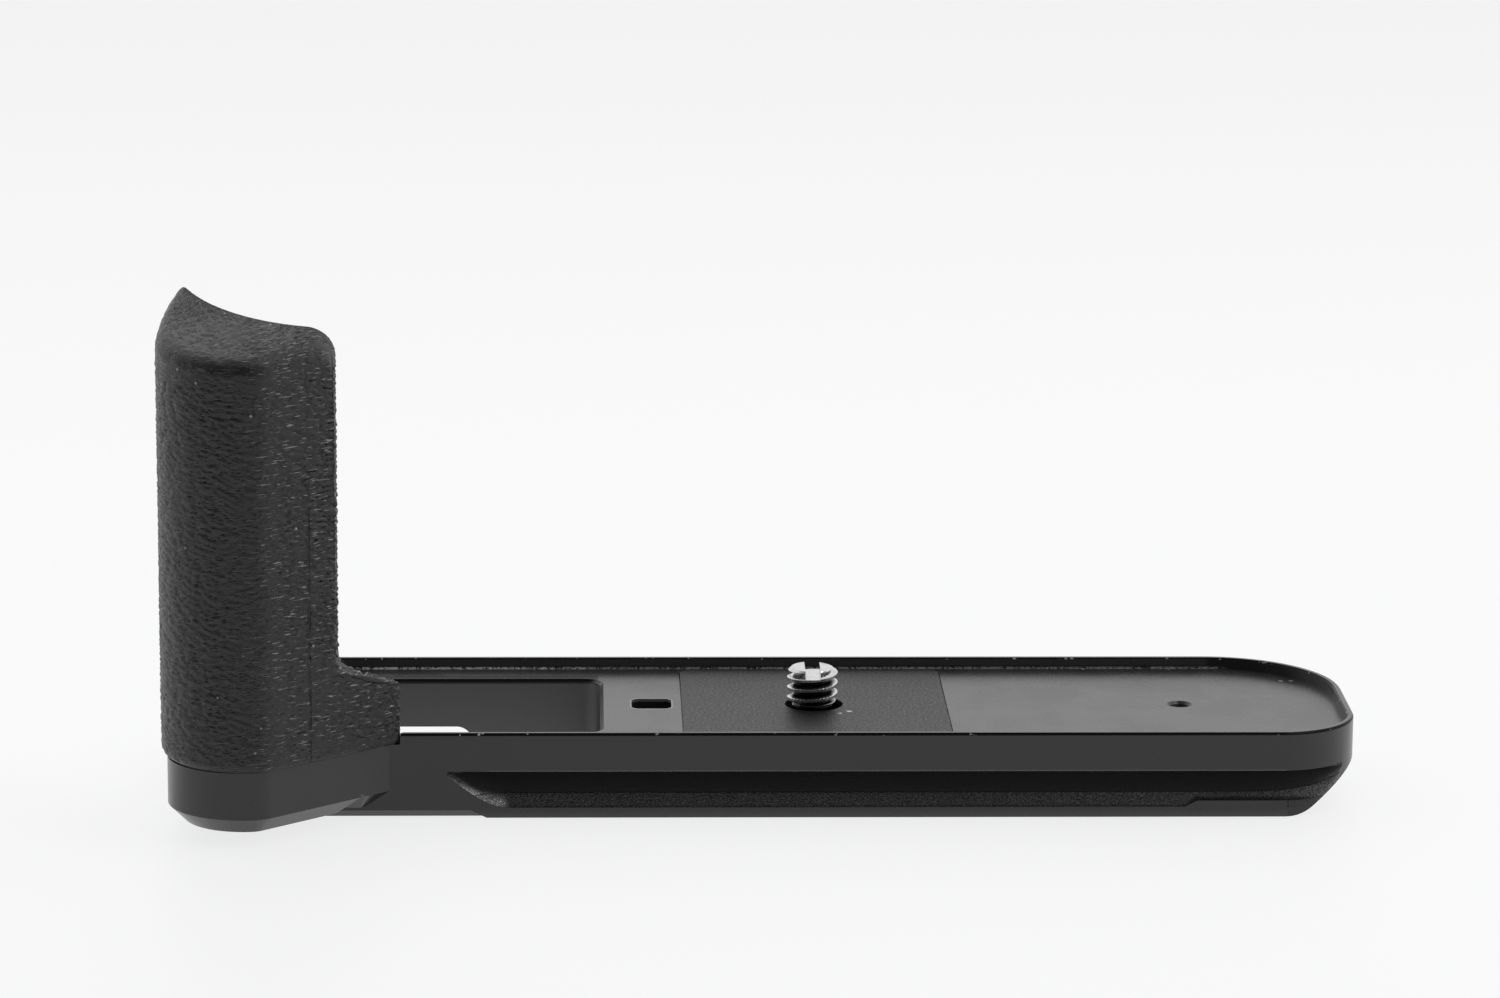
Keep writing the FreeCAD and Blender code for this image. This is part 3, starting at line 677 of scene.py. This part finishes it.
def camera_screw_piece():
    """Coin-slot head with a fine knurl, shank, neck and a threaded tip, as one profile turned about the axis.
    The thread stands out from its root by its share of the depth, and fades out at its foot."""
    around = full_turn(240)
    foot, tip = screw_low[2], screw_high[2]
    head_top = foot + head_height
    ease = 0.12
    rim = [(head_r - head_bevel - ease, 0.0), (head_r - head_bevel, 0.3 * ease),
           (head_r - 0.3 * ease, head_bevel), (head_r, head_bevel + ease)]
    low_rows = [(0.0, foot)] + [(r, foot + z) for r, z in rim]
    high_rows = [(r, head_top - z) for r, z in reversed(rim)]
    high_rows += [(shank_r + ease, head_top), (shank_r, head_top + ease), (shank_r, neck_low - ease),
                  (shank_r - ease, neck_low), (neck_r, neck_low), (neck_r, neck_high), (relief_r, neck_high),
                  (relief_r, thread_bottom - 0.3)]
    knurl_z = np.linspace(foot + head_bevel + ease, head_top - head_bevel - ease, 8)
    depth = 0.16 * np.sin(np.linspace(0.0, math.pi, len(knurl_z))) ** 0.5
    wave = 0.5 - 0.5 * np.cos(head_grooves * around)
    knurl = head_r - depth[:, None] * wave[None, :]
    z = np.linspace(thread_bottom - 0.28, tip, 150)
    crest = np.minimum(thread_r, thread_r - tip_bevel + (tip - z))[:, None]
    share = thread_height(z, around, thread_pitch, thread_crest_z)
    fade = np.clip((z - thread_bottom + 0.25) / 0.5, 0.0, 1.0)[:, None]
    thread = np.minimum(crest, thread_r - thread_depth + thread_depth * share * fade)
    parts = [plain_rows(low_rows, around), (knurl, knurl_z), plain_rows(high_rows, around), (thread, z),
             plain_rows([(0.0, tip)], around)]
    points, quads = turned(parts, around, closed=False)
    points, quads, _ = merged(points, quads, points)
    piece = make_piece("screw_threaded", points, quads, "screw", sharp=35)
    reach = 2 * head_r
    for width, low, high in ((tip_slot_width, tip - tip_slot_depth, tip + 1.0),
                             (coin_slot_width, foot - 1.0, foot + coin_slot_depth)):
        cut_slot(piece, (-0.5 * width, -reach, low), (0.5 * width, reach, high))
    smooth_faces(piece.data, 35)
    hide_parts("camera_screw")
    return piece


def tripod_bush_piece():
    """Bush with an eased rim and a threaded bore, as one closed profile turned about its axis."""
    around = full_turn(144)
    low, high = bush_low[2], bush_high[2]
    middle = 0.5 * (bush_low + bush_high)
    outer_r = 0.5 * (bush_high[0] - bush_low[0])
    ease = 0.15
    rim = [(bush_bore_r + bush_bevel, low), (outer_r - ease, low), (outer_r - 0.3 * ease, low + 0.3 * ease),
           (outer_r, low + ease), (outer_r, high), (bush_bore_r, high)]
    z = np.linspace(high - 0.05, low + bush_bevel, 120)
    share = thread_height(z, around, thread_pitch, low)
    fade = np.clip((high - z) / 0.5, 0.0, 1.0)[:, None]
    bore = bush_bore_r + 0.5 * (1.0 - share) * fade
    points, quads = turned([plain_rows(rim, around), (bore, z)], around, middle)
    piece = make_piece("bush_threaded", points, quads, "base", sharp=35)
    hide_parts("tripod_bush")
    return piece


def accessory_thread_piece():
    """Thread inside the small hole: a thin closed sleeve against the bore."""
    around = full_turn(64)
    low, high = plate_low[2] + 0.4, deck_z - 0.5
    z = np.linspace(low, high, 150)
    share = thread_height(z, around, accessory_pitch, low)
    fade = np.clip(np.minimum(z - low, high - z) / 0.3, 0.0, 1.0)[:, None]
    inner = accessory_r - 0.03 - accessory_depth * share * fade
    outer = [(accessory_r - 0.002, high), (accessory_r - 0.002, low)]
    points, quads = turned([(inner, z), plain_rows(outer, around)], around, (accessory_x, 0.0))
    return make_piece("accessory_thread", points, quads[:, ::-1], "base", sharp=35)


def joined_copy(node, name, body):
    """A frame node's own surface, joined up, with sharp edges kept and large faces level to the eye."""
    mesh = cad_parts[node].data.copy()
    mesh.name = name
    mesh.materials.clear()
    shape = bmesh.new()
    shape.from_mesh(mesh)
    bmesh.ops.remove_doubles(shape, verts=shape.verts, dist=1e-6)
    shape.to_mesh(mesh)
    shape.free()
    stored = mesh.attributes.get("custom_normal")
    if stored is not None:
        mesh.attributes.remove(stored)
    smooth_faces(mesh, 28)
    piece = new_object(name, mesh)
    level = piece.modifiers.new("level_faces", "WEIGHTED_NORMAL")
    level.mode = "FACE_AREA"
    level.weight = 100
    level.keep_sharp = True
    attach(piece, body)
    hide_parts(node)
    return piece


# Finishes

class Nodes:
    """A node tree that is built node by node."""

    def __init__(self, tree):
        self.tree = tree

    def feed(self, socket, value):
        """A number, colour or another node's output goes into a socket; for a colour, a number is a grey."""
        if isinstance(value, bpy.types.NodeSocket):
            self.tree.links.new(value, socket)
        elif socket.type == "RGBA" and isinstance(value, float):
            socket.default_value = (value, value, value, 1.0)
        else:
            socket.default_value = value

    def result(self, output, kind, inputs, **settings):
        """One output of a new node whose settings are made and inputs fed."""
        made = self.tree.nodes.new(kind)
        for key, value in settings.items():
            setattr(made, key, value)
        for key, value in inputs.items():
            self.feed(made.inputs[key], value)
        return made.outputs[output]

    def calc(self, operation, first, second=0.0):
        """One operation on one or two values."""
        return self.result(0, "ShaderNodeMath", {0: first, 1: second}, operation=operation)

    def times(self, first, *others):
        """Values multiplied together."""
        for other in others:
            first = self.calc("MULTIPLY", first, other)
        return first

    def most(self, first, *others):
        """The largest of some values."""
        for other in others:
            first = self.calc("MAXIMUM", first, other)
        return first

    def length(self, first, second):
        """The long side over two short sides at right angles."""
        squares = self.calc("ADD", self.calc("POWER", first, 2.0), self.calc("POWER", second, 2.0))
        return self.calc("SQRT", squares)

    def span(self, value, low, high, to_low=0.0, to_high=1.0):
        """A value mapped smoothly from one range to another and held at its ends."""
        inputs = {"Value": value, "From Min": low, "From Max": high, "To Min": to_low, "To Max": to_high}
        return self.result("Result", "ShaderNodeMapRange", inputs, interpolation_type="SMOOTHSTEP")

    def fall(self, value, low, high):
        """One below a range, none above it, and smooth between."""
        return self.span(value, low, high, 1.0, 0.0)

    def between(self, value, low, rise, drop, high):
        """One from a rise to a drop, none outside a low and a high value, and smooth between."""
        return self.times(self.span(value, low, rise), self.fall(value, drop, high))


class Finish(Nodes):
    """A material whose shader is built node by node."""

    def __init__(self, name):
        self.material = bpy.data.materials.new(name)
        self.material.use_nodes = True
        super().__init__(self.material.node_tree)
        self.shader = self.tree.nodes["Principled BSDF"]

    def set(self, **values):
        """Values for the shader's own sockets, named with underscores."""
        for key, value in values.items():
            self.feed(self.shader.inputs[key.replace("_", " ")], value)

    def stretched(self, vector, scale):
        return self.result("Vector", "ShaderNodeMapping", {"Vector": vector, "Scale": scale})

    def place(self, scale=(1.0, 1.0, 1.0)):
        """Object coordinates, stretched."""
        return self.stretched(self.result("Object", "ShaderNodeTexCoord", {}), scale)

    def axes(self):
        """The object's own coordinates, in millimetres."""
        place = self.place((1000.0, 1000.0, 1000.0))
        return [self.result(name, "ShaderNodeSeparateXYZ", {0: place}) for name in "XYZ"]

    def grain_place(self, scale=(1.0, 1.0, 1.0)):
        """The skin's own coordinates along and up its grain, stretched."""
        own = self.result("Vector", "ShaderNodeAttribute", {}, attribute_name="grain_place")
        return self.stretched(own, scale)

    def noise(self, scale, detail=3.0, rough=0.55, vector=None):
        """Soft noise over object coordinates or others."""
        where = self.place() if vector is None else vector
        inputs = {"Vector": where, "Scale": scale, "Detail": detail, "Roughness": rough}
        return self.result("Fac", "ShaderNodeTexNoise", inputs)

    def cells(self, vector, scale):
        """Distance from the nearest of many scattered points."""
        return self.result("Distance", "ShaderNodeTexVoronoi", {"Vector": vector, "Scale": scale})

    def mix(self, share, first, second):
        """Two colours mixed."""
        inputs = {"Factor": share, "A": first, "B": second}
        return self.result("Result", "ShaderNodeMix", inputs, data_type="RGBA")

    def cloudy(self, noise, low, high):
        """A grey that drifts between two levels with a noise."""
        return self.mix(self.span(noise, 0.3, 0.7), low, high)

    def spotted(self, tone, marks, ragged, where):
        """Round marks with ragged edges over a tone, seen from above."""
        x, y, _ = self.axes()
        for mark_x, mark_y, mark_r, level in marks:
            aside = self.calc("SUBTRACT", x, mark_x)
            away = self.calc("SUBTRACT", y, mark_y)
            gap = self.times(self.length(aside, away), self.span(ragged, 0.3, 0.7, 0.6, 1.4))
            spot = self.times(self.fall(gap, 0.6 * mark_r, mark_r), where)
            tone = self.mix(spot, tone, level)
        return tone

    def window_edge_highlight(self, x, y):
        """A narrow band round the deck window, by the distance from its rounded outline, where a painted edge
        highlight goes.
        """
        gaps = []
        for value, centre, half in zip((x, y), window_centre, window_half):
            off = self.calc("ABSOLUTE", self.calc("SUBTRACT", value, centre))
            gaps.append(self.most(self.calc("SUBTRACT", off, half - window_corner), 0.0))
        away = self.calc("SUBTRACT", self.length(*gaps), window_corner)
        return self.between(away, -0.02, 0.0, 0.14, 0.28)

    def bump(self, height, depth, under=None):
        """Height in shares of a depth given in millimetres."""
        inputs = {"Strength": 1.0, "Distance": depth * MM, "Height": height}
        if under is not None:
            inputs["Normal"] = under
        return self.result("Normal", "ShaderNodeBump", inputs)


def rubber_finish():
    """Dark rubber: pores, fine wrinkles and short ridges that follow the grain, whose pale tone is a painted
    highlight on their lips, specks of pale dust, and a faint broken seam up the flank."""
    f = Finish("skin_rubber_grained")
    x, y, z = f.axes()
    lie = f.grain_place()
    pores = f.cells(f.grain_place((1.0 / 0.9, 1.0 / 0.4, 0.0)), 1.0)
    fine = f.noise(1.0, 4.0, 0.6, f.grain_place((1.0 / 0.5, 1.0 / 0.2, 0.0)))
    strokes = f.noise(1.0, 1.0, vector=f.grain_place((1.0 / 1.9, 1.0 / 0.2, 0.0)))
    on_flank = f.span(x, flank_start[0] - 4.0, flank_start[0] + 1.0, 0.25, 1.0)
    patchy = f.span(f.noise(0.4, 2.0, vector=lie), 0.30, 0.5)
    # Short ridges along the grain, strongest on the flank: their pale tone is a painted highlight on the
    # crease lips.
    ridge_highlight = f.times(f.span(strokes, 0.62, 0.68), on_flank, patchy)
    dust = f.fall(f.cells(f.grain_place((0.36, 0.36, 0.0)), 1.0), 0.045, 0.075)
    dust = f.times(dust, f.span(f.noise(0.35, vector=lie), 0.4, 0.48))
    off_seam = f.calc("ABSOLUTE", f.calc("SUBTRACT", x, seam_x))
    broken = f.span(f.noise(0.7, vector=lie), 0.4, 0.5)
    seam = f.times(f.fall(off_seam, 0.05, 0.16), f.fall(z, seam_top - 8.0, seam_top),
                   f.fall(y, plate_front - 7.0, plate_front - 6.0), broken)
    shade = f.mix(f.span(fine, 0.3, 0.75), 0.015, 0.024)
    tone = f.mix(f.span(f.noise(0.12, 2.0, vector=lie), 0.35, 0.7), shade, 0.023)
    # Tone layers: the ridges' painted highlight, the seam's dark line and pale dust.
    for share, level in ((ridge_highlight, 0.55), (seam, 0.003), (dust, 0.65)):
        tone = f.mix(share, tone, level)
    f.set(Base_Color=tone, Roughness=f.span(fine, 0.25, 0.8, 0.34, 0.46), IOR=1.5)
    low = f.bump(f.span(pores, 0.08, 0.4), 0.07)
    for height, depth in ((ridge_highlight, 0.07), (seam, -0.1), (fine, 0.06)):
        low = f.bump(height, depth, low)
    f.set(Normal=low)
    return f.material


def anodised_finish():
    """Black anodised aluminium: blasted deck, finely brushed walls, groove slopes that are blasted below and
    smooth above, dust in the corners of the tray and a spot rubbed through at the groove's round end. Light
    and shade are painted in as well: a painted glint on that spot, slope tones graded as painted light and
    shade, pale lines painted as edge highlights, lighter faces in the opening, on the back rim and at the
    lip's foot as painted reflections, and a dark, dull rim bevel and deck strip as painted shade."""
    f = Finish("plate_black_anodised")
    x, y, z = f.axes()
    side = f.calc("ABSOLUTE", y)
    in_front = f.fall(y, 0.0, 1.0)
    blasted = f.noise(9000.0, 2.0)
    brushed = f.noise(1.0, 2.0, vector=f.place((120.0, 6000.0, 9000.0)))
    clouds = f.noise(160.0)
    milled = f.noise(3200.0, 3.0, 0.6, f.place((1.0, 0.6, 0.6)))
    grit = f.noise(2600.0, 3.0, 0.7)
    speckled = f.noise(5200.0, 2.0, 0.65)

    # Groove slopes, with the round end in front rubbed through and a painted glint on it, and the blasted
    # part that sweeps up at the right end
    by_groove = f.span(x, groove_end_x - 4.2, groove_end_x - 3.7)
    by_cutter = f.times(in_front, f.span(x, groove_end_x - 8.6, groove_end_x - 8.2))
    inside = f.between(side, groove_floor_y - 0.1, groove_floor_y, half_depth - 0.06, half_depth - 0.02)
    in_height = f.between(z, groove_low_z - 0.1, groove_low_z, groove_high_z, groove_high_z + 0.1)
    on_slope = f.times(inside, in_height, f.most(by_cutter, by_groove))
    # The round end in front is rubbed to bare metal, and a glint painted on it stands in for its highlight.
    worn_and_glint = f.times(f.fall(x, groove_end_x - 1.2, groove_end_x + 0.2),
                   f.span(side, half_depth - 1.1, half_depth - 0.4))
    glint = f.times(f.between(x, groove_end_x - 3.9, groove_end_x - 3.0, groove_end_x - 1.0, groove_end_x),
                    f.between(z, 1.5, 1.9, 2.7, 3.2), f.span(side, half_depth - 1.6, half_depth - 0.3))
    worn_and_glint = f.times(f.most(worn_and_glint, glint), on_slope, in_front, f.span(milled, 0.3, 0.7, 0.35, 1.0))
    swept = f.calc("DIVIDE", f.most(f.calc("SUBTRACT", x, sweep_x), 0.0), sweep_length)
    swept = f.times(f.calc("POWER", swept, 4.0), sweep_rise)
    lit = f.fall(f.calc("SUBTRACT", z, swept), groove_lit_z - 0.12, groove_lit_z + 0.12)
    lip_z = f.span(x, lip_raise_x, lip_raise_x + lip_raise_run, groove_low_z, groove_low_z + lip_raise)
    # Painted light and shade on the slope: the blasted part is painted lighter up to its top edge and towards
    # the right end, with a painted shadow line at its foot by the lip; the smooth part above is painted
    # lighter deeper under the overhang, in place of the light its shade takes away.
    lit_tone_and_shadow = f.times(f.span(z, groove_low_z + 0.25, groove_lit_z, 0.072, 0.115),
                       f.span(speckled, 0.36, 0.66, 0.35, 1.75), f.span(x, 15.0, 48.0, 1.0, 1.5),
                       f.span(f.calc("SUBTRACT", z, lip_z), 0.1, 0.35, 0.2, 1.0))
    slope_tone_and_shade = f.mix(lit, f.span(z, groove_lit_z, 4.6, 0.085, 0.125), lit_tone_and_shadow)

    # Front and back faces
    on_front = f.between(side, half_depth - 0.05, half_depth - 0.02, half_depth + 0.05, half_depth + 0.1)
    # The lip's front face is painted lighter towards its foot: a painted reflection of the bright floor.
    on_lip = f.times(on_front, f.fall(z, groove_low_z, groove_low_z + 0.05))
    # A pale line painted along the front wall's lower edge over the groove: a painted edge highlight.
    low_edge = f.between(z, groove_top_z - 0.02, groove_top_z, groove_top_z + 0.1, groove_top_z + 0.18)
    low_edge = f.times(low_edge, on_front, f.span(x, groove_end_x - 4.0, groove_end_x - 2.0))

    # Rim, deck and opening
    # The rim's bevel, and a narrow band under it in front, are painted dark and made less glossy: painted
    # shade for the dark line along the rim's top.
    bevel_z = rim_top - rim_bevel
    front_edge = f.times(f.span(z, bevel_z - 0.14, bevel_z - 0.1), in_front)
    on_bevel = f.times(f.most(f.span(z, bevel_z, bevel_z + 0.02), front_edge),
                       f.fall(z, rim_top - 0.03, rim_top - 0.01))
    # The back rim's inner face is painted lighter: a painted reflection.
    back_wall = f.between(y, half_depth - 0.95, half_depth - 0.91, half_depth - 0.5, half_depth - 0.4)
    back_wall = f.times(back_wall, f.span(z, deck_z + 0.3, deck_z + 0.45))
    in_corner = f.between(y, half_depth - 1.35, half_depth - 1.0, half_depth - 0.8, half_depth - 0.75)
    in_corner = f.times(in_corner, f.between(z, deck_z - 0.2, deck_z - 0.1, deck_z + 0.12, deck_z + 0.3))
    # The walls in the opening are painted lighter than the anodising and made glossier: a painted reflection
    # of the bright floor below them; they are also rougher.
    in_opening = f.times(f.fall(x, opening_right, opening_right + 0.1),
                         f.fall(side, opening_back + 0.1, opening_back + 0.2),
                         f.fall(z, deck_z - 0.6, deck_z - 0.5))
    level = f.calc("SUBTRACT", f.span(z, deck_z - 0.4, deck_z - 0.3), f.span(z, deck_z + 0.15, deck_z + 0.25))
    level = f.calc("ADD", level, f.span(z, rim_top - 0.3, rim_top - 0.2))
    # A strip of deck just behind the opening is painted dark and less glossy: painted shade where the back
    # rim's dark reflection lies.
    by_opening = f.between(y, opening_back - 0.1, opening_back, opening_back + 1.6, opening_back + 2.2)
    shaded_strip = f.times(level, by_opening, f.fall(x, opening_right - 0.4, opening_right))

    # Dust
    dirt = f.times(in_corner, f.span(grit, 0.42, 0.52))
    specks = f.times(f.fall(f.cells(f.place(), 210.0), 0.03, 0.045), f.span(f.noise(90.0), 0.6, 0.66))
    flecks = f.times(on_bevel, f.span(f.noise(700.0, 3.0, 0.7), 0.64, 0.68))
    dusty = f.mix(f.span(x, opening_right - 4.0, opening_right), 0.8, 0.42)

    tone = f.cloudy(clouds, 0.027, 0.032)
    # Among real marks these layers paint light and shade: lighter opening walls, back rim face and lip foot
    # (painted reflections), graded slope tones, a pale front-wall edge line and window edge (painted
    # highlights), a dark rim bevel (painted shade) and the glint at the groove's end.
    layers = ((in_opening, 0.125), (on_slope, slope_tone_and_shade), (on_lip, f.span(z, 0.0, 1.1, 0.15, 0.03)),
              (low_edge, 0.22), (back_wall, 0.08), (on_bevel, 0.004), (worn_and_glint, 0.85),
              (f.most(dirt, specks, flecks), dusty), (f.times(f.window_edge_highlight(x, y), level), 0.24))
    for share, over in layers:
        tone = f.mix(share, tone, over)
    tone = f.spotted(tone, deck_marks, grit, level)
    # Painted shade: the strip behind the opening is darker, and it and the rim's bevel reflect less.
    tone = f.mix(shaded_strip, tone, 0.006)
    dull = f.most(on_bevel, f.times(shaded_strip, 0.8))
    shine = f.calc("SUBTRACT", f.span(in_opening, 0.0, 1.0, 0.5, 1.0), f.span(dull, 0.0, 1.0, 0.0, 0.42))
    f.set(Base_Color=tone, IOR=1.54, Specular_IOR_Level=shine, Metallic=f.span(worn_and_glint, 0.2, 0.6, 0.0, 0.7))
    rough = f.mix(on_slope, f.span(clouds, 0.25, 0.75, 0.24, 0.30), 0.22)
    f.set(Roughness=f.mix(in_opening, rough, 0.5))
    lined = f.bump(brushed, 0.003, f.bump(blasted, 0.004))
    rough_part = f.times(speckled, on_slope, f.span(lit, 0.0, 1.0, 0.2, 1.0))
    f.set(Normal=f.bump(rough_part, 0.35, lined))
    return f.material


def pad_finish():
    """Thin dark pad: dull, finely textured, with a few pale specks."""
    f = Finish("pad_rubber_fine")
    fine = f.noise(3200.0)
    clouds = f.noise(140.0)
    specks = f.times(f.fall(f.cells(f.place(), 150.0), 0.028, 0.04), f.span(clouds, 0.5, 0.6))
    tone = f.mix(specks, f.cloudy(clouds, 0.009, 0.013), 0.3)
    f.set(Base_Color=f.spotted(tone, pad_marks, f.noise(2600.0, 3.0, 0.7), 1.0), IOR=1.5)
    f.set(Roughness=f.span(fine, 0.3, 0.7, 0.34, 0.6), Normal=f.bump(fine, 0.06))
    return f.material


def steel_finish(name, level, rough, lines, root_shade=1.0):
    """Turned steel: faint rings round the axis, small changes of tone and gloss, and thread roots painted
    darker as painted shade.
    """
    f = Finish(name)
    x, y, z = f.axes()
    rings = f.noise(1.0, 2.0, vector=f.place((300.0, 300.0, lines)))
    slot_z = screw_high[2] - tip_slot_depth
    crest = f.span(f.length(x, y), thread_r - 0.6 * thread_depth, thread_r - 0.1)
    tip = f.span(z, slot_z - 0.12, slot_z - 0.02)
    tone = f.cloudy(f.noise(900.0), level * 0.88, level)
    # Painted shade: off the crests and the tip, the tone is darkened to a share of itself.
    root = f.mix(root_shade, 0.0, tone)
    f.set(Base_Color=f.mix(f.most(crest, tip), root, tone), Metallic=1.0)
    f.set(Roughness=f.span(rings, 0.3, 0.7, rough * 0.8, rough * 1.2), Normal=f.bump(rings, 0.003))
    return f.material


def core_finish():
    """Moulded black plastic with a fine spark-eroded texture."""
    f = Finish("core_plastic_textured")
    fine = f.noise(3000.0, 4.0, 0.65)
    f.set(Base_Color=f.cloudy(f.noise(120.0), 0.010, 0.014), IOR=1.5)
    f.set(Roughness=f.span(fine, 0.3, 0.7, 0.42, 0.55), Normal=f.bump(fine, 0.02))
    return f.material


# Studio

floor_glow = 0.79            # what camera and mirror rays see of the floor's white as its own light
floor_colour = 0.17          # the rest takes the shadow
back_level = 0.96
front_level = 0.12
overhead_lean = 0.12         # the dark side gives way a little overhead


def studio_floor():
    """A wide white sheet: its colour falls off a little with distance as painted shade, and camera and mirror
    rays see part of its white as light of its own, while the rest takes the shadow."""
    size = 6.0
    points = [(x, y, 0.0) for y in (-size, 0.0, size) for x in (-size, 0.0, size)]
    mesh = bpy.data.meshes.new("floor_sheet")
    mesh.from_pydata(points, [], grid_quads(3, 3).tolist())
    floor = new_object("floor_sheet", mesh)
    f = Finish("floor_white")
    _, y, _ = f.axes()
    # Painted shade: the sheet darkens a little with distance.
    far = f.span(y, 0.0, 900.0)
    tone = f.mix(far, (0.995, 1.0, 1.0, 1.0), (0.893, 0.898, 0.893, 1.0))
    sheet = f.mix(far, floor_colour, 0.95 * floor_colour)
    rays = ("Is Camera Ray", "Is Glossy Ray", "Is Transmission Ray")
    seen = f.most(*(f.result(ray, "ShaderNodeLightPath", {}) for ray in rays))
    f.set(Base_Color=sheet, Roughness=0.55, Specular_IOR_Level=0.15)
    f.set(Emission_Color=tone, Emission_Strength=f.times(seen, floor_glow))
    give(floor, f.material)


def studio_world():
    """Surroundings of a white sheet that rises behind the object and over it: white towards the back, dark
    on the camera's side. Camera rays see plain white."""
    world = bpy.data.worlds.new("studio")
    world.use_nodes = True
    bpy.context.scene.world = world
    n = Nodes(world.node_tree)
    facing = n.result("Generated", "ShaderNodeTexCoord", {})
    back = n.result("Y", "ShaderNodeSeparateXYZ", {0: facing})
    up = n.result("Z", "ShaderNodeSeparateXYZ", {0: facing})
    around = n.span(n.calc("ADD", n.times(up, overhead_lean), back), -0.1, 0.45, front_level, back_level)
    direct = n.result("Is Camera Ray", "ShaderNodeLightPath", {})
    level = n.result("Result", "ShaderNodeMix", {"Factor": direct, "A": around, "B": back_level})
    sky = n.tree.nodes["Background"]
    n.feed(sky.inputs["Strength"], level)
    n.feed(sky.inputs["Color"], 1.0)


def soft_lamp(name, place, aim, size, power):
    """A large square lamp, turned towards a point."""
    lamp = bpy.data.lights.new(name, "AREA")
    lamp.size = size
    lamp.energy = power
    item = new_object(name, lamp)
    item.location = place
    item.rotation_euler = (Vector(aim) - Vector(place)).to_track_quat("-Z", "Y").to_euler()


def photo_camera():
    """The fitted camera: forward leans down and turns right, and the picture rolls about it."""
    down, turn, roll = (math.radians(v) for v in (camera_down, camera_turn, camera_roll))
    forward = Vector((math.sin(turn) * math.cos(down), math.cos(turn) * math.cos(down), -math.sin(down)))
    level = Vector((math.cos(turn), -math.sin(turn), 0.0))
    below = forward.cross(level)
    right = math.cos(roll) * level + math.sin(roll) * below
    bottom = math.cos(roll) * below - math.sin(roll) * level
    lens = bpy.data.cameras.new("photo_camera")
    lens.sensor_width = 36.0
    lens.lens = focal_pixels / photo_width * lens.sensor_width
    item = new_object("photo_camera", lens)
    turned_axes = Matrix((right, -bottom, -forward)).transposed().to_4x4()
    item.matrix_world = Matrix.Translation(Vector(camera_place) * MM) @ turned_axes
    bpy.context.scene.camera = item


# The object

anodised = anodised_finish()
steel = steel_finish("screw_bright_steel", 0.68, 0.2, 9000.0, root_shade=0.16)
dull_steel = steel_finish("ring_spring_steel", 0.45, 0.35, 5000.0)
black_steel = steel_finish("screw_blackened_steel", 0.05, 0.4, 6000.0)

give(grip_skin_piece(), rubber_finish())
give(camera_screw_piece(), steel)
give(tripod_bush_piece(), steel_finish("bush_plain_steel", 0.6, 0.28, 7000.0))
give(accessory_thread_piece(), anodised)
give(joined_copy("base_plate", "plate_joined", "base"), anodised)
give(joined_copy("seat_pad", "pad_joined", "base"), pad_finish())
give(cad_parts["grip_core"], core_finish())
give(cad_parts["retaining_ring"], dull_steel)
give(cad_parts["column_screws"], black_steel)

studio_floor()
studio_world()
soft_lamp("lamp_left", (-1.1, -0.1, 0.45), (-0.03, 0.0, 0.03), 1.1, 1.2)
soft_lamp("lamp_right", (1.1, -0.1, 0.5), (0.0, 0.0, 0.02), 1.1, 2.6)
soft_lamp("lamp_over_right", (0.54, -0.2, 1.05), (0.0, 0.0, 0.02), 0.5, 1.6)
photo_camera()
bpy.context.scene.view_settings.view_transform = "Standard"
